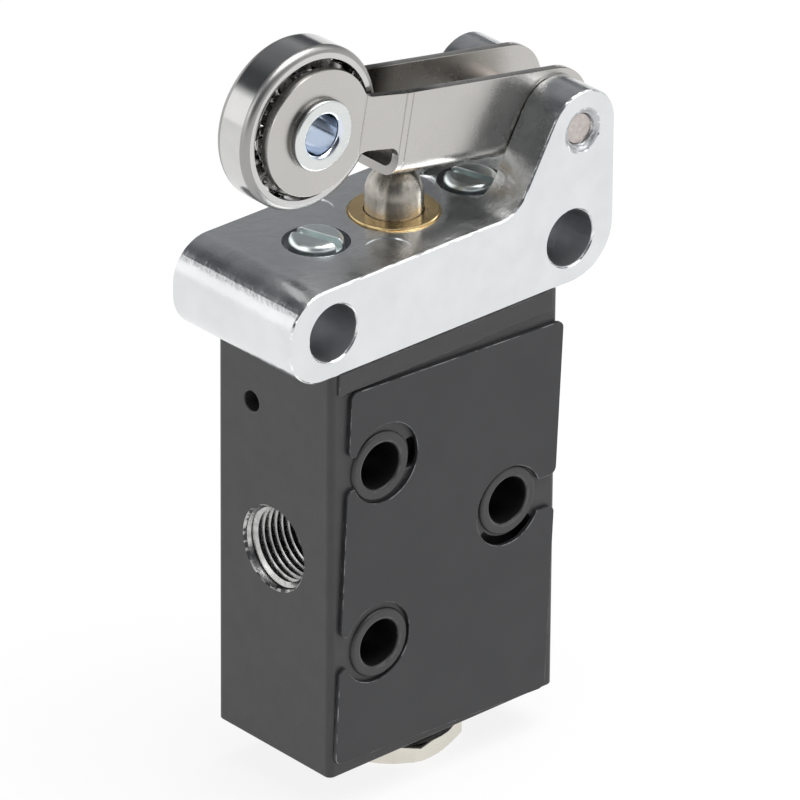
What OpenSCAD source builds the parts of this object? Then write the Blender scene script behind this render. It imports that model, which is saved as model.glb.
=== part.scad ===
// Roller lever air valve: a three-port spool valve worked by a pivoted roller lever.
// Millimetres. +Z runs up the spool axis, the roller is towards -X and the label faces -Y.
// The origin is on the spool axis, in the flat end of the hexagonal cap.

/* [Body] */
// Height of the body block
body_h = 50.1; // [49:0.1:56]
// Thickness of the body from the label seat to the back
body_t = 18.8; // [18:0.1:22]
// Spool axis to the outlet port face
body_left = 17.4; // [16.6:0.1:20]
// Spool axis to the supply and exhaust port face
body_right = 16; // [15.6:0.1:20]
// Radius of the four upright edges
body_edge_r = 0.8; // [0.3:0.1:1.5]
// Height of the raised band under the head
band_h = 2.7; // [1.5:0.1:3]
// How far the band stands out from the label seat
band_out = 0.3; // [0.2:0.05:0.5]
// Side margin of the band
band_margin = 1; // [0.5:0.1:2]
// Bore that holds the spool stack
spool_bore_d = 10; // [9:0.1:10.5]
// Vent hole diameter
vent_d = 2.4; // [1.5:0.1:3]
// Vent hole height above the body's foot
vent_z = 42; // [41:0.1:44]
// Vent hole distance behind the spool axis
vent_y = 3.7; // [3.5:0.1:5]
// Vent hole depth
vent_depth = 5; // [2:0.5:6]

/* [Body mounting holes] */
// Through hole diameter
mount_d = 5.5; // [4.5:0.1:6]
// Spool axis to the pair of holes
pair_x = 10.4; // [9.6:0.1:11]
// Height of the lower hole of the pair
pair_z = 14.9; // [13:0.1:15.5]
// Distance between the two holes of the pair
pair_pitch = 22; // [21:0.1:24]
// Spool axis to the single hole
single_x = 8.5; // [8.4:0.1:10]
// Height of the single hole
single_z = 26; // [24:0.1:26.5]
// Outer diameter of the ring round each hole
boss_d = 8.2; // [7.5:0.1:8.4]
// How far a ring stands out from the label seat
boss_out = 0.4; // [0.3:0.1:1]
// Edge radius of the rings
boss_edge_r = 0.4; // [0.1:0.05:0.4]
// Chamfer at each hole mouth
mount_chamfer = 0.2; // [0.1:0.05:0.4]

/* [Core pockets behind the label] */
// Depth of a core pocket
pocket_depth = 1.8; // [1:0.1:2.2]
// Width of the core pockets, away from their holes
pocket_w = 4; // [3:0.1:6]
// Distance of a core pocket's middle from its hole
pocket_off = 4.8; // [4:0.1:6]
// Length of the core pocket beside the upper hole of the pair
pair_pocket_l = 3.6; // [3:0.1:10]
// Length of the core pocket under the single hole
single_pocket_l = 8; // [5:0.1:12]
// Corner radius of a core pocket
pocket_r = 1.5; // [0.5:0.1:1.5]
// Rim left round a ring
pocket_rim = 0.3; // [0.2:0.1:1]

/* [Ports] */
// Major diameter of the port thread
port_d = 9.728; // [8.5:0.001:10]
// Depth of a port
port_depth = 8; // [6:0.1:8.5]
// Chamfer at a port mouth
port_chamfer = 0.25; // [0.1:0.05:0.5]
// Height of the outlet port above the middle of the body
port_rise = 0.15; // [-0.5:0.05:0.5]
// Passage from a port to the spool bore
passage_d = 4.5; // [2:0.1:5]

/* [End cap] */
// Hexagon across flats
cap_af = 14; // [13:0.1:15]
// Hexagon height
cap_hex_h = 2.6; // [2.5:0.1:4]
// Turn of the hexagon about the spool axis
cap_turn = 14.5; // [0:0.5:60]
// Chamfer at the flat end of the cap
cap_chamfer = 0.7; // [0.2:0.1:1.2]
// Threaded shank diameter
cap_shank_d = 12; // [11:0.1:12.5]
// Spring pocket diameter
cap_pocket_d = 7.4; // [7.2:0.1:8]
// Wall left under the spring pocket
cap_floor = 2.5; // [1.5:0.1:3.5]
// Sealing washer thickness
washer_t = 2.3; // [1:0.1:3]
// Sealing washer outer diameter
washer_d = 15; // [13.2:0.1:15.4]

/* [Spool and seals] */
// Height of the body left over by the stack of seals and cages, both ends together
stack_ends = 17.1; // [16.5:0.1:18]
// Spool diameter
spool_d = 6; // [5.6:0.1:6.3]
// Spool waist diameter
waist_d = 3.6; // [3:0.1:4.5]
// Taper length at each end of the waist
waist_taper = 0.6; // [0.3:0.1:1]
// Length of spool below the first seal
spool_tail = 3.5; // [3:0.1:4]
// Running clearance round the spool, on the radius
spool_clear = 0.05; // [0.02:0.01:0.1]
// Clearance of the stack in its bore, on the radius
stack_clear = 0.02; // [0.01:0.01:0.05]
// Wall of a spacer cage
cage_wall = 1.4; // [1:0.1:1.5]
// Groove round a spacer cage
cage_groove_w = 5; // [3:0.1:6]
// Depth of that groove
cage_groove = 0.6; // [0.3:0.1:0.8]
// Cross hole of a spacer cage
cage_hole_d = 2.4; // [1.5:0.1:3]
// Guide land of the top guide
guide_land = 2.5; // [1.5:0.1:3]

/* [Return spring] */
// Wire diameter
spring_wire = 0.7; // [0.5:0.05:0.8]
// Outer diameter of the coil
spring_d = 6.4; // [6:0.1:6.8]
// Number of turns
spring_turns = 5; // [4:1:6]
// Flat stretch at each end, in turns
spring_flat = 0.4; // [0.2:0.1:0.5]

/* [Head] */
// Length of the head from the spool axis to the roller end
head_left = 23.6; // [22.5:0.1:26]
// Thickness of the head, front to back
head_t = 19.5; // [19.2:0.1:24]
// Height of the head flange
head_h = 10.9; // [10.5:0.1:13]
// Radius of the roller-end corners
head_nose_r = 4.8; // [2:0.1:5.2]
// Radius of the lower corner under the ears
head_toe_r = 6; // [2:0.1:6.4]
// Cross hole diameter
cross_d = 6.7; // [6:0.1:7]
// Distance between the cross holes
cross_pitch = 34.6; // [34:0.1:36]
// Ear radius
ear_r = 4.75; // [4.2:0.05:5.2]
// Slope of the ear's inner edge, from the flange
ear_slope = 60; // [56:1:64]
// Fillet at the foot of that slope
ear_foot_r = 4.5; // [2:0.1:5]
// Clearance between an ear and the lever
ear_clear = 0.12; // [0.05:0.01:0.3]
// Ejector mark diameter
ejector_d = 5.2; // [3:0.1:6]
// Ejector mark depth
ejector_depth = 0.1; // [0.05:0.05:0.3]
// Ejector mark distance from the spool axis, along X
ejector_x = 6.5; // [6:0.1:8]
// Ejector mark distance from the spool axis, along Y
ejector_y = 6.4; // [6:0.1:6.8]

/* [Head screws] */
// Spool axis to a screw
screw_x = 11.3; // [11:0.1:12]
// Screw head diameter
screw_head_d = 6.1; // [5.5:0.1:6.5]
// Screw head height
screw_head_h = 2.9; // [2:0.1:3.2]
// How far the screw head stands above the flange
screw_proud = 0.8; // [0.2:0.1:1]
// Rounding of the screw head's rim
screw_rim_r = 0.8; // [0.3:0.1:1]
// Screw shank diameter
screw_d = 3.5; // [3:0.1:4]
// Length of screw in the body
screw_grip = 7; // [5:0.1:7.5]
// Depth left under the screw's tip
screw_tip_room = 0.5; // [0.2:0.1:1]
// Driver slot width
slot_w = 1.2; // [0.6:0.1:1.4]
// Driver slot depth
slot_depth = 1.1; // [0.6:0.1:1.4]
// Turn of the driver slots
slot_turn = -74; // [-90:1:90]
// Clearance round a screw head, on the radius
screw_head_clear = 0.75; // [0.3:0.05:0.8]
// Clearance round a screw shank, on the radius
screw_clear = 0.2; // [0.1:0.05:0.3]

/* [Plunger and guide bush] */
// Plunger diameter
plunger_d = 6.6; // [6:0.1:7.2]
// Running clearance of the plunger in its bush, on the radius
plunger_clear = 0.05; // [0.02:0.01:0.1]
// Gap between the dome and the lever at rest
dome_gap = 0.08; // [0.05:0.01:0.2]
// Stop collar diameter
collar_d = 8.4; // [8:0.1:8.6]
// Stop collar thickness
collar_t = 2; // [1.5:0.1:2.5]
// Gap under the bush at rest
collar_gap = 0.05; // [0.03:0.01:0.2]
// Clearance round the collar, on the radius
collar_clear = 0.3; // [0.2:0.05:0.4]
// Height of the plunger's foot under its collar
foot_h = 1; // [0.5:0.1:1.5]
// Diameter of the plunger's foot
foot_d = 5; // [4:0.1:5.5]
// Bush flange diameter
bush_flange_d = 10.1; // [9.6:0.1:11]
// Bush flange thickness
bush_flange_t = 1.2; // [0.8:0.1:2]
// How far the bush flange stands above the head
bush_proud = 0.3; // [0.1:0.05:0.6]
// Bush outer diameter
bush_d = 8.7; // [8.4:0.1:9]
// Room for the collar under the bush
collar_room = 1.2; // [0.8:0.1:2]

/* [Lever] */
// Tilt of the lever at rest
lever_tilt = 10.4; // [10:0.1:11]
// Travel of the lever
lever_travel = 8; // [6:0.1:8.3]
// Spool axis to the pivot
pivot_x = 18.95; // [18.5:0.05:20]
// Height of the pivot above the flange
pivot_h = 7.2; // [7:0.1:8.5]
// Width of the channel over its sides
lever_w = 8.7; // [8.5:0.1:9.5]
// Sheet thickness
sheet = 1.1; // [0.8:0.1:1.2]
// Height of the channel
lever_h = 10.2; // [9.8:0.1:11]
// Pivot to the outside of the web
web_drop = 4.85; // [4.5:0.05:5.2]
// Outer radius of the channel's bends
bend_r = 2.2; // [1.5:0.1:2.6]
// Pivot to the end of the web that faces the roller
web_end = 22.2; // [21:0.1:23]
// Set-back of the cheeks' round ends behind the pivot
lever_tail = 0.35; // [0:0.05:0.6]
// Pivot to the other end of the web
web_start = 4.2; // [3:0.1:8]
// Neck's lower edge below the pivot line
neck_low = 1; // [0.5:0.1:2]
// Radius in the corner under the neck
neck_r = 1.3; // [0.6:0.1:2]
// Fillet between the neck's top and the eye
neck_top_r = 1.5; // [0.5:0.1:3]
// Fillet between the neck's lower edge and the eye
neck_foot_r = 2; // [0.5:0.1:3]
// Length of the sideways set in the neck
set_l = 5.4; // [4:0.1:5.4]
// Pivot to the roller, along the lever
reach = 34.1; // [33.8:0.05:37]
// Roller above the pivot line
rise = 2; // [1.6:0.05:2.6]
// Eye diameter
eye_d = 14.55; // [13:0.05:15]
// Gap between an eye and the bearing
eye_gap = 0.1; // [0.05:0.01:0.2]

/* [Pivot pin] */
// Pin diameter
pin_d = 3.5; // [3:0.1:4]
// Running clearance of the lever on its pin, on the radius
pin_clear = 0.05; // [0.02:0.01:0.1]
// How far each pin end is sunk in its ear
pin_sunk = 0.7; // [0.3:0.1:1]
// Diameter of the staked dish round a pin end
stake_d = 5; // [4.6:0.1:6]

/* [Roller bearing] */
// Outer diameter
bearing_d = 19; // [18.5:0.1:19.5]
// Bore
bearing_bore = 10; // [9.6:0.1:10.2]
// Width
bearing_w = 5; // [4.6:0.1:5.4]
// Edge radius of the outer ring
bearing_edge_r = 0.9; // [0.3:0.05:1]
// Edge radius at the bore
bore_edge_r = 0.3; // [0.1:0.05:0.5]
// Ball diameter
ball_d = 2.43; // [2.3:0.01:2.5]
// Number of balls
ball_count = 9; // [6:1:10]
// Clearance between a ball and its track
ball_clear = 0.05; // [0.02:0.01:0.1]
// Wall of the inner ring at its lands
inner_wall = 1.2; // [1:0.05:1.3]
// Wall of the outer ring at its lands
outer_wall = 1.35; // [1.2:0.05:1.45]
// Bridge of the ball cage beside each ball
cage_bridge = 0.42; // [0.3:0.01:0.5]
// Thickness of the ball cage
cage_t = 0.9; // [0.6:0.1:1.2]
// Clearance of a ball in the cage
pocket_clear = 0.08; // [0.04:0.01:0.1]

/* [Roller rivet] */
// Flange diameter
rivet_flange_d = 8.2; // [7.4:0.05:8.6]
// Flange thickness
rivet_flange_t = 0.9; // [0.8:0.1:1.6]
// Flange edge radius
rivet_edge_r = 0.35; // [0.1:0.05:0.5]
// Shank through the eyes
rivet_shank_d = 6; // [5.6:0.1:6.4]
// Hole through the rivet
rivet_hole_d = 4.6; // [3:0.1:4.8]
// Flare of the hole at each mouth
rivet_flare = 0.4; // [0.2:0.1:0.6]

/* [Label plate] */
// Label width
label_w = 31.2; // [29:0.1:31.4]
// Label thickness
label_t = 0.5; // [0.3:0.1:0.6]
// Margin left at the foot of the body by the lowest corner
label_foot = 0.3; // [0.2:0.1:3]
// Gap left under the raised band by the highest corner
label_gap = 0.12; // [0.1:0.01:2]
// Label centre to the right of the spool axis
label_x = -0.15; // [-0.3:0.05:0.3]
// Crooked set of the label, clockwise
label_tilt = 2.7; // [0:0.1:3]
// Clearance between a ring and its crooked cut-out, on the radius
cutout_clear = 0.06; // [0.05:0.01:0.3]
// Height of the neck from a cut-out to the label's edge
neck_h = 3.9; // [3:0.1:5]
// Corner radius of the label and of the necks
label_r = 0.9; // [0.3:0.1:1.2]

/* [Hidden] */
$fn = 64;
// Overlap of a cutting tool past the face that it opens
past = 1;
// Rings per turn of the spring wire
spring_steps = 16;
// Sides of the spring wire
spring_sides = 8;
// Cross holes round a spacer cage
cage_holes = 6;
// Ports along the spool, with a spacer cage at each
stages = 3;

// Heights above the origin
body_z = cap_hex_h + washer_t;
outlet_z = body_z + body_h / 2 + port_rise;
head_z = body_z + body_h;
cross_z = head_z + head_h / 2;
head_top = head_z + head_h;
pivot_z = head_top + pivot_h;

// Label seat, the head's end behind its ears, and the ears' thickness
seat_y = -body_t / 2;
head_right = pivot_x + ear_r;
ear_t = head_t / 2 - lever_w / 2 - ear_clear;

// Mounting holes of the body as [x, z]
pair_low = [-pair_x, body_z + pair_z];
pair_high = [-pair_x, body_z + pair_z + pair_pitch];
single_hole = [single_x, body_z + single_z];
mount_holes = [pair_low, pair_high, single_hole];
holes_centre = (pair_low + pair_high + single_hole) / len(mount_holes);

// The label is turned about the middle of the three holes, so its cut-outs leave room for that
hole_reach = max([for (hole = mount_holes) norm(hole - holes_centre)]);
cutout_d = boss_d + 2 * (cutout_clear + 2 * sin(label_tilt / 2) * hole_reach);
label_left = label_x - label_w / 2 - holes_centre[0];
label_right = label_x + label_w / 2 - holes_centre[0];
label_top_rise = head_z - band_h - label_gap - holes_centre[1];
label_foot_drop = holes_centre[1] - body_z - label_foot;
label_high = holes_centre[1] + (label_top_rise + label_left * sin(label_tilt)) / cos(label_tilt);
label_low = holes_centre[1] - (label_foot_drop - label_right * sin(label_tilt)) / cos(label_tilt);

// Lever: the plunger follows it at a nearly steady rate over its small travel
lever_end_r = lever_h - web_drop;
dome_r = plunger_d / 2;
mid_tilt = lever_tilt - lever_travel / 2;
stroke = (pivot_x - (web_drop + dome_r) * sin(mid_tilt)) * lever_travel * PI / 180;
dome_z = pivot_z + (pivot_x * sin(lever_tilt) - web_drop - dome_r - dome_gap) / cos(lever_tilt);
eye_inner = bearing_w / 2 + eye_gap;
eye_outer = eye_inner + sheet;
neck_start = reach - sqrt(pow(eye_d / 2, 2) - pow(lever_end_r - rise, 2));
axle_half = eye_outer + rivet_flange_t;

// Bearing, with the balls midway between the lands
inner_land_d = bearing_bore + 2 * inner_wall;
outer_land_d = bearing_d - 2 * outer_wall;
ball_circle_d = (inner_land_d + outer_land_d) / 2;
cage_w = ball_d + 2 * (pocket_clear + cage_bridge);

// Plunger and bush
bush_top = head_top + bush_proud;
bush_foot = head_z + collar_room;
collar_top = bush_foot - collar_gap;
plunger_foot = collar_top - collar_t - foot_h;

// Spool stack, from the end cap to the head, with a port at each cage
port_pitch = (body_h - stack_ends) / stages;
seal_section = spool_bore_d / 2 - stack_clear - spool_d / 2 - spool_clear;
seal_circle_r = spool_d / 2 + spool_clear + seal_section / 2;
function seal_z(i) = outlet_z + (i - 1 - stages / 2) * port_pitch;
cap_shank_top = seal_z(1) - seal_section / 2 - stack_clear;
guide_z = seal_z(stages + 1) + seal_section / 2 + stack_clear;
waist_foot = seal_z(2) + stroke / 2;
waist_top = waist_foot + port_pitch;
spool_foot = seal_z(1) - spool_tail;

// Return spring between the cap's pocket and the spool
spring_foot = cap_floor;
spring_len = spool_foot - spring_foot;
spring_r = (spring_d - spring_wire) / 2;

// A cylinder along Y, centred on the XZ plane
module y_cylinder(d, len) {
    rotate([90, 0, 0]) cylinder(d = d, h = len, center = true);
}

// A profile drawn in X and Z, given a thickness along Y about the XZ plane
module y_plate(t) {
    translate([0, t / 2, 0]) rotate([90, 0, 0]) linear_extrude(t) children();
}

// A section drawn as radius and height, turned about Y
module y_turned() {
    rotate([90, 0, 0]) rotate_extrude() children();
}

// Turns its children over left to right where x is 1, and top to bottom where y is 1
module flip(x, y) {
    mirror([x, 0, 0]) mirror([0, y, 0]) children();
}

// What rounding takes off a corner whose material lies towards +X and +Y
module corner_cut(r) {
    difference() {
        translate([-past, -past]) square(r + past);
        translate([r, r]) circle(r);
    }
}

// A flat rectangle with round corners
module round_rect(w, h, r) {
    difference() {
        square([w, h], center = true);
        for (x = [0, 1], y = [0, 1])
            flip(x, y) translate([-w / 2, -h / 2]) corner_cut(r);
    }
}

// A conical mouth, wide end at the origin and narrowing along +Z
module mouth(d, chamfer) {
    translate([0, 0, -chamfer])
        cylinder(d1 = d + 4 * chamfer, d2 = d, h = 2 * chamfer);
}

// A tapped port, opening at the origin and running along +Z to the spool
module port(to_axis) {
    translate([0, 0, -past]) cylinder(d = port_d, h = port_depth + past);
    mouth(port_d, port_chamfer);
    cylinder(d = passage_d, h = to_axis);
}

// A core pocket beside a hole, clear of the ring round it
module body_pocket(hole, off, size) {
    translate([0, seat_y + (pocket_depth - past) / 2, 0]) y_plate(pocket_depth + past)
        difference() {
            translate(hole + off) round_rect(size[0], size[1], pocket_r);
            translate(hole) circle(d = boss_d + 2 * pocket_rim);
        }
}

// A raised ring on the label face, with a round outer edge
module ring_boss() {
    rotate_extrude() difference() {
        translate([0, -past]) square([boss_d / 2, boss_out + past]);
        translate([boss_d / 2, boss_out]) flip(1, 1) corner_cut(boss_edge_r);
    }
}

module body() {
    width = body_left + body_right;
    mid_x = (body_right - body_left) / 2;
    color("dimgray") difference() {
        union() {
            translate([mid_x, 0, body_z])
                linear_extrude(body_h) round_rect(width, body_t, body_edge_r);
            translate([mid_x - width / 2 + band_margin, seat_y - band_out, head_z - band_h])
                cube([width - 2 * band_margin, band_out + past, band_h]);
            for (hole = mount_holes) translate([hole[0], seat_y, hole[1]]) rotate([90, 0, 0]) ring_boss();
        }
        translate([0, 0, body_z - past]) cylinder(d = spool_bore_d, h = body_h + 2 * past);
        translate([0, 0, body_z - past]) cylinder(d = cap_shank_d, h = cap_shank_top - body_z + past);
        for (hole = mount_holes) translate([hole[0], 0, hole[1]]) {
            y_cylinder(mount_d, body_t + 4 * past);
            translate([0, seat_y - boss_out, 0]) rotate([-90, 0, 0]) mouth(mount_d, mount_chamfer);
            translate([0, -seat_y, 0]) rotate([90, 0, 0]) mouth(mount_d, mount_chamfer);
        }
        body_pocket(pair_high, [pocket_off, 0], [pocket_w, pair_pocket_l]);
        body_pocket(single_hole, [0, -pocket_off], [single_pocket_l, pocket_w]);
        translate([-body_left, 0, outlet_z]) rotate([0, 90, 0]) port(body_left);
        for (side = [-1, 1])
            translate([body_right, 0, outlet_z + side * port_pitch])
                rotate([0, -90, 0]) port(body_right);
        translate([-body_left - past, vent_y, body_z + vent_z]) rotate([0, 90, 0])
            cylinder(d = vent_d, h = vent_depth + past);
        for (side = [-1, 1])
            translate([side * screw_x, 0, head_z - screw_grip - screw_tip_room])
                cylinder(d = screw_d, h = screw_grip + screw_tip_room + past);
    }
}

// Cut-out for one ring, with a neck that opens at the label's near edge
module label_cutout(hole, side) {
    translate(hole) {
        circle(d = cutout_d);
        translate([side * label_w / 2, 0]) square([label_w, neck_h], center = true);
    }
}

module label_plate() {
    label_h = label_high - label_low;
    color([0.2, 0.2, 0.21]) translate([holes_centre[0], seat_y - label_t / 2, holes_centre[1]])
        rotate([0, label_tilt, 0]) translate([-holes_centre[0], 0, -holes_centre[1]]) y_plate(label_t)
        difference() {
            translate([label_x, label_low + label_h / 2]) round_rect(label_w, label_h, label_r);
            label_cutout(pair_low, -1);
            label_cutout(pair_high, -1);
            label_cutout(single_hole, 1);
            for (down = [0, 1]) {
                for (hole = [pair_low, pair_high])
                    translate([label_x - label_w / 2, hole[1]]) flip(0, down)
                        translate([0, neck_h / 2]) corner_cut(label_r);
                translate([label_x + label_w / 2, single_hole[1]]) flip(1, down)
                    translate([0, neck_h / 2]) corner_cut(label_r);
            }
        }
}

module end_cap() {
    corner_d = cap_af / cos(30);
    end_d = cap_af - 2 * cap_chamfer;
    color("ivory") difference() {
        union() {
            intersection() {
                rotate([0, 0, cap_turn]) cylinder(d = corner_d, h = cap_hex_h, $fn = 6);
                cylinder(d1 = end_d, d2 = end_d + 4 * cap_hex_h, h = cap_hex_h);
            }
            cylinder(d = cap_shank_d, h = cap_shank_top);
        }
        translate([0, 0, cap_floor]) cylinder(d = cap_pocket_d, h = cap_shank_top);
    }
}

module cap_washer() {
    color("black") translate([0, 0, cap_hex_h]) difference() {
        cylinder(d = washer_d, h = washer_t);
        translate([0, 0, -past]) cylinder(d = cap_shank_d, h = washer_t + 2 * past);
    }
}

// One ring of the spring wire, at a turn of t
function spring_ring(t, z) = [
    for (s = [0 : spring_sides - 1])
        let (a = 360 * s / spring_sides, r = spring_r + spring_wire / 2 * cos(a))
        [r * cos(360 * t), r * sin(360 * t), z + spring_wire / 2 * sin(a)]
];

// Height of the wire: it lies flat at both ends and climbs steadily between them
function spring_climb(t) =
    let (share = (t - spring_flat) / (spring_turns - 2 * spring_flat))
    spring_wire / 2 + (spring_len - spring_wire) * min(1, max(0, share));

module return_spring() {
    count = spring_turns * spring_steps;
    rings = [for (i = [0 : count]) spring_ring(i / spring_steps, spring_climb(i / spring_steps))];
    points = [for (ring = rings, p = ring) p];
    sides = [for (i = [0 : count - 1], s = [0 : spring_sides - 1])
        let (n = (s + 1) % spring_sides, a = i * spring_sides, b = a + spring_sides)
        each [[a + s, b + s, b + n], [a + s, b + n, a + n]]];
    first = [for (s = [0 : spring_sides - 1]) s];
    last = [for (s = [spring_sides - 1 : -1 : 0]) count * spring_sides + s];
    color("lightsteelblue") translate([0, 0, spring_foot])
        polyhedron(points = points, faces = concat(sides, [first, last]), convexity = 10);
}

module spool() {
    r = spool_d / 2;
    w = waist_d / 2;
    color("silver") rotate_extrude() polygon([
        [0, spool_foot], [r, spool_foot], [r, waist_foot], [w, waist_foot + waist_taper],
        [w, waist_top - waist_taper], [r, waist_top], [r, plunger_foot], [0, plunger_foot]
    ]);
}

module spool_seal(i) {
    color("black") translate([0, 0, seal_z(i)])
        rotate_extrude() translate([seal_circle_r, 0]) circle(d = seal_section);
}

module spacer_cage(i) {
    outer_d = spool_bore_d - 2 * stack_clear;
    inner_d = outer_d - 2 * cage_wall;
    length = port_pitch - seal_section - 2 * stack_clear;
    color("goldenrod") translate([0, 0, (seal_z(i) + seal_z(i + 1)) / 2]) difference() {
        cylinder(d = outer_d, h = length, center = true);
        cylinder(d = inner_d, h = length + 2 * past, center = true);
        difference() {
            cylinder(d = outer_d + 2 * past, h = cage_groove_w, center = true);
            cylinder(d = outer_d - 2 * cage_groove, h = cage_groove_w + past, center = true);
        }
        for (k = [0 : cage_holes - 1]) rotate([0, 90, 360 * k / cage_holes])
            cylinder(d = cage_hole_d, h = outer_d);
    }
}

module top_guide() {
    color("darkgoldenrod") translate([0, 0, guide_z]) difference() {
        cylinder(d = spool_bore_d - 2 * stack_clear, h = head_z - guide_z);
        translate([0, 0, -past]) cylinder(d = spool_d + 2 * spool_clear, h = head_z - guide_z);
        translate([0, 0, guide_land])
            cylinder(d = collar_d + 2 * collar_clear, h = head_z - guide_z);
    }
}

// The flange of the head, without its ears
module flange_profile() {
    difference() {
        translate([-head_left, head_z]) square([head_left + head_right, head_h]);
        translate([-head_left, head_z]) corner_cut(head_nose_r);
        translate([-head_left, head_top]) flip(0, 1) corner_cut(head_nose_r);
        translate([head_right, head_z]) flip(1, 0) corner_cut(head_toe_r);
    }
}

// One ear: a round end on the pivot, a straight slope and a filleted foot
module ear_profile() {
    pivot = [pivot_x, pivot_z];
    along = [cos(ear_slope), sin(ear_slope)];
    touch = pivot + ear_r * [-sin(ear_slope), cos(ear_slope)];
    foot = touch - along * (touch[1] - head_top) / sin(ear_slope);
    run = ear_foot_r * tan(ear_slope / 2);
    start = [foot[0] - run, head_top];
    circle_at = start + [0, ear_foot_r];
    difference() {
        polygon([
            start - [0, past], start, foot + run * along, touch, pivot,
            [head_right, pivot_z], [head_right, head_top - past]
        ]);
        translate(circle_at) circle(ear_foot_r);
    }
    translate(pivot) circle(ear_r);
}

module head() {
    color("gainsboro") difference() {
        union() {
            y_plate(head_t) flange_profile();
            for (side = [-1, 1])
                translate([0, side * (head_t - ear_t) / 2, 0]) y_plate(ear_t) ear_profile();
        }
        for (side = [-1, 1]) {
            translate([side * cross_pitch / 2, 0, cross_z]) y_cylinder(cross_d, head_t + 2 * past);
            translate([side * screw_x, 0, head_z - past])
                cylinder(d = screw_d + 2 * screw_clear, h = head_h + 2 * past);
            translate([side * screw_x, 0, head_top + screw_proud - screw_head_h])
                cylinder(d = screw_head_d + 2 * screw_head_clear, h = screw_head_h + past);
            translate([-ejector_x, side * ejector_y, head_top - ejector_depth])
                cylinder(d = ejector_d, h = ejector_depth + past);
            translate([pivot_x, side * head_t / 2, pivot_z]) rotate([side * 90, 0, 0])
                cylinder(d1 = stake_d, d2 = pin_d, h = pin_sunk);
        }
        translate([pivot_x, 0, pivot_z]) y_cylinder(pin_d, head_t + 2 * past);
        translate([0, 0, head_z - past]) cylinder(d = bush_d, h = head_h + 2 * past);
        translate([0, 0, bush_top - bush_flange_t])
            cylinder(d = bush_flange_d, h = bush_flange_t + past);
        translate([0, 0, head_z - past])
            cylinder(d = collar_d + 2 * collar_clear, h = collar_room + past);
    }
}

module head_screws() {
    under = head_top + screw_proud - screw_head_h;
    shank_l = under - head_z + screw_grip;
    color("lightsteelblue") for (side = [-1, 1]) translate([side * screw_x, 0, under]) difference() {
        union() {
            rotate_extrude() difference() {
                square([screw_head_d / 2, screw_head_h]);
                translate([screw_head_d / 2, screw_head_h]) flip(1, 1) corner_cut(screw_rim_r);
            }
            translate([0, 0, -shank_l]) cylinder(d = screw_d, h = shank_l);
        }
        rotate([0, 0, slot_turn]) translate([-screw_head_d, -slot_w / 2, screw_head_h - slot_depth])
            cube([2 * screw_head_d, slot_w, slot_depth + past]);
    }
}

module guide_bush() {
    color("goldenrod") difference() {
        union() {
            translate([0, 0, bush_foot]) cylinder(d = bush_d, h = bush_top - bush_foot);
            translate([0, 0, bush_top - bush_flange_t])
                cylinder(d = bush_flange_d, h = bush_flange_t);
        }
        translate([0, 0, bush_foot - past])
            cylinder(d = plunger_d + 2 * plunger_clear, h = bush_top - bush_foot + 2 * past);
    }
}

module plunger() {
    collar_foot = collar_top - collar_t;
    color("silver") {
        translate([0, 0, plunger_foot]) cylinder(d = foot_d, h = foot_h + collar_t);
        translate([0, 0, collar_foot]) cylinder(d = collar_d, h = collar_t);
        translate([0, 0, collar_foot]) cylinder(d = plunger_d, h = dome_z - collar_foot);
        translate([0, 0, dome_z]) sphere(dome_r);
    }
}

module pivot_pin() {
    color("rosybrown") translate([pivot_x, 0, pivot_z]) y_cylinder(pin_d, head_t - 2 * pin_sunk);
}

// Places what is drawn in the lever's own frame: pivot at the origin, roller towards +X, web below
module on_lever() {
    translate([pivot_x, 0, pivot_z]) rotate([0, lever_tilt, 0]) mirror([1, 0, 0]) children();
}

// Places what is drawn about the roller's axis
module on_roller() {
    on_lever() translate([reach, 0, rise]) children();
}

// Fills the corner between the eye and one edge of the neck; side is 1 above the neck and -1 below it
module neck_fillet(edge, r, side) {
    away = eye_d / 2 + r;
    at_y = edge + side * r;
    at_x = reach - sqrt(pow(away, 2) - pow(at_y - rise, 2));
    to_fillet = [at_x - reach, at_y - rise] / away;
    difference() {
        polygon([[at_x, edge], [reach, rise] + to_fillet * eye_d / 2, [reach, rise], [at_x, 0]]);
        translate([at_x, at_y]) circle(r);
    }
}

// Side view of one cheek: round end, flat side, neck and eye
module cheek_profile() {
    neck_fillet(lever_end_r, neck_top_r, 1);
    neck_fillet(-neck_low, neck_foot_r, -1);
    translate([-lever_tail, 0]) circle(lever_end_r);
    translate([-lever_tail, bend_r - web_drop]) square([web_end + lever_tail, lever_h - bend_r]);
    translate([web_end - past, -neck_low]) square([reach - web_end + past, lever_end_r + neck_low]);
    translate([web_end, -neck_low - neck_r]) difference() {
        translate([-past, 0]) square([neck_r + past, neck_r + past]);
        translate([neck_r, 0]) circle(neck_r);
    }
    translate([reach, rise]) circle(d = eye_d);
}

// Plan view of one cheek, set inwards along its neck to meet the bearing
module cheek_plan() {
    outer = lever_w / 2;
    inner = outer - sheet;
    back = -2 * lever_end_r;
    set_start = neck_start - set_l;
    tip = reach + eye_d;
    polygon([
        [back, inner], [set_start, inner], [neck_start, eye_inner], [tip, eye_inner],
        [tip, eye_outer], [neck_start, eye_outer], [set_start, outer], [back, outer]
    ]);
}

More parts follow.
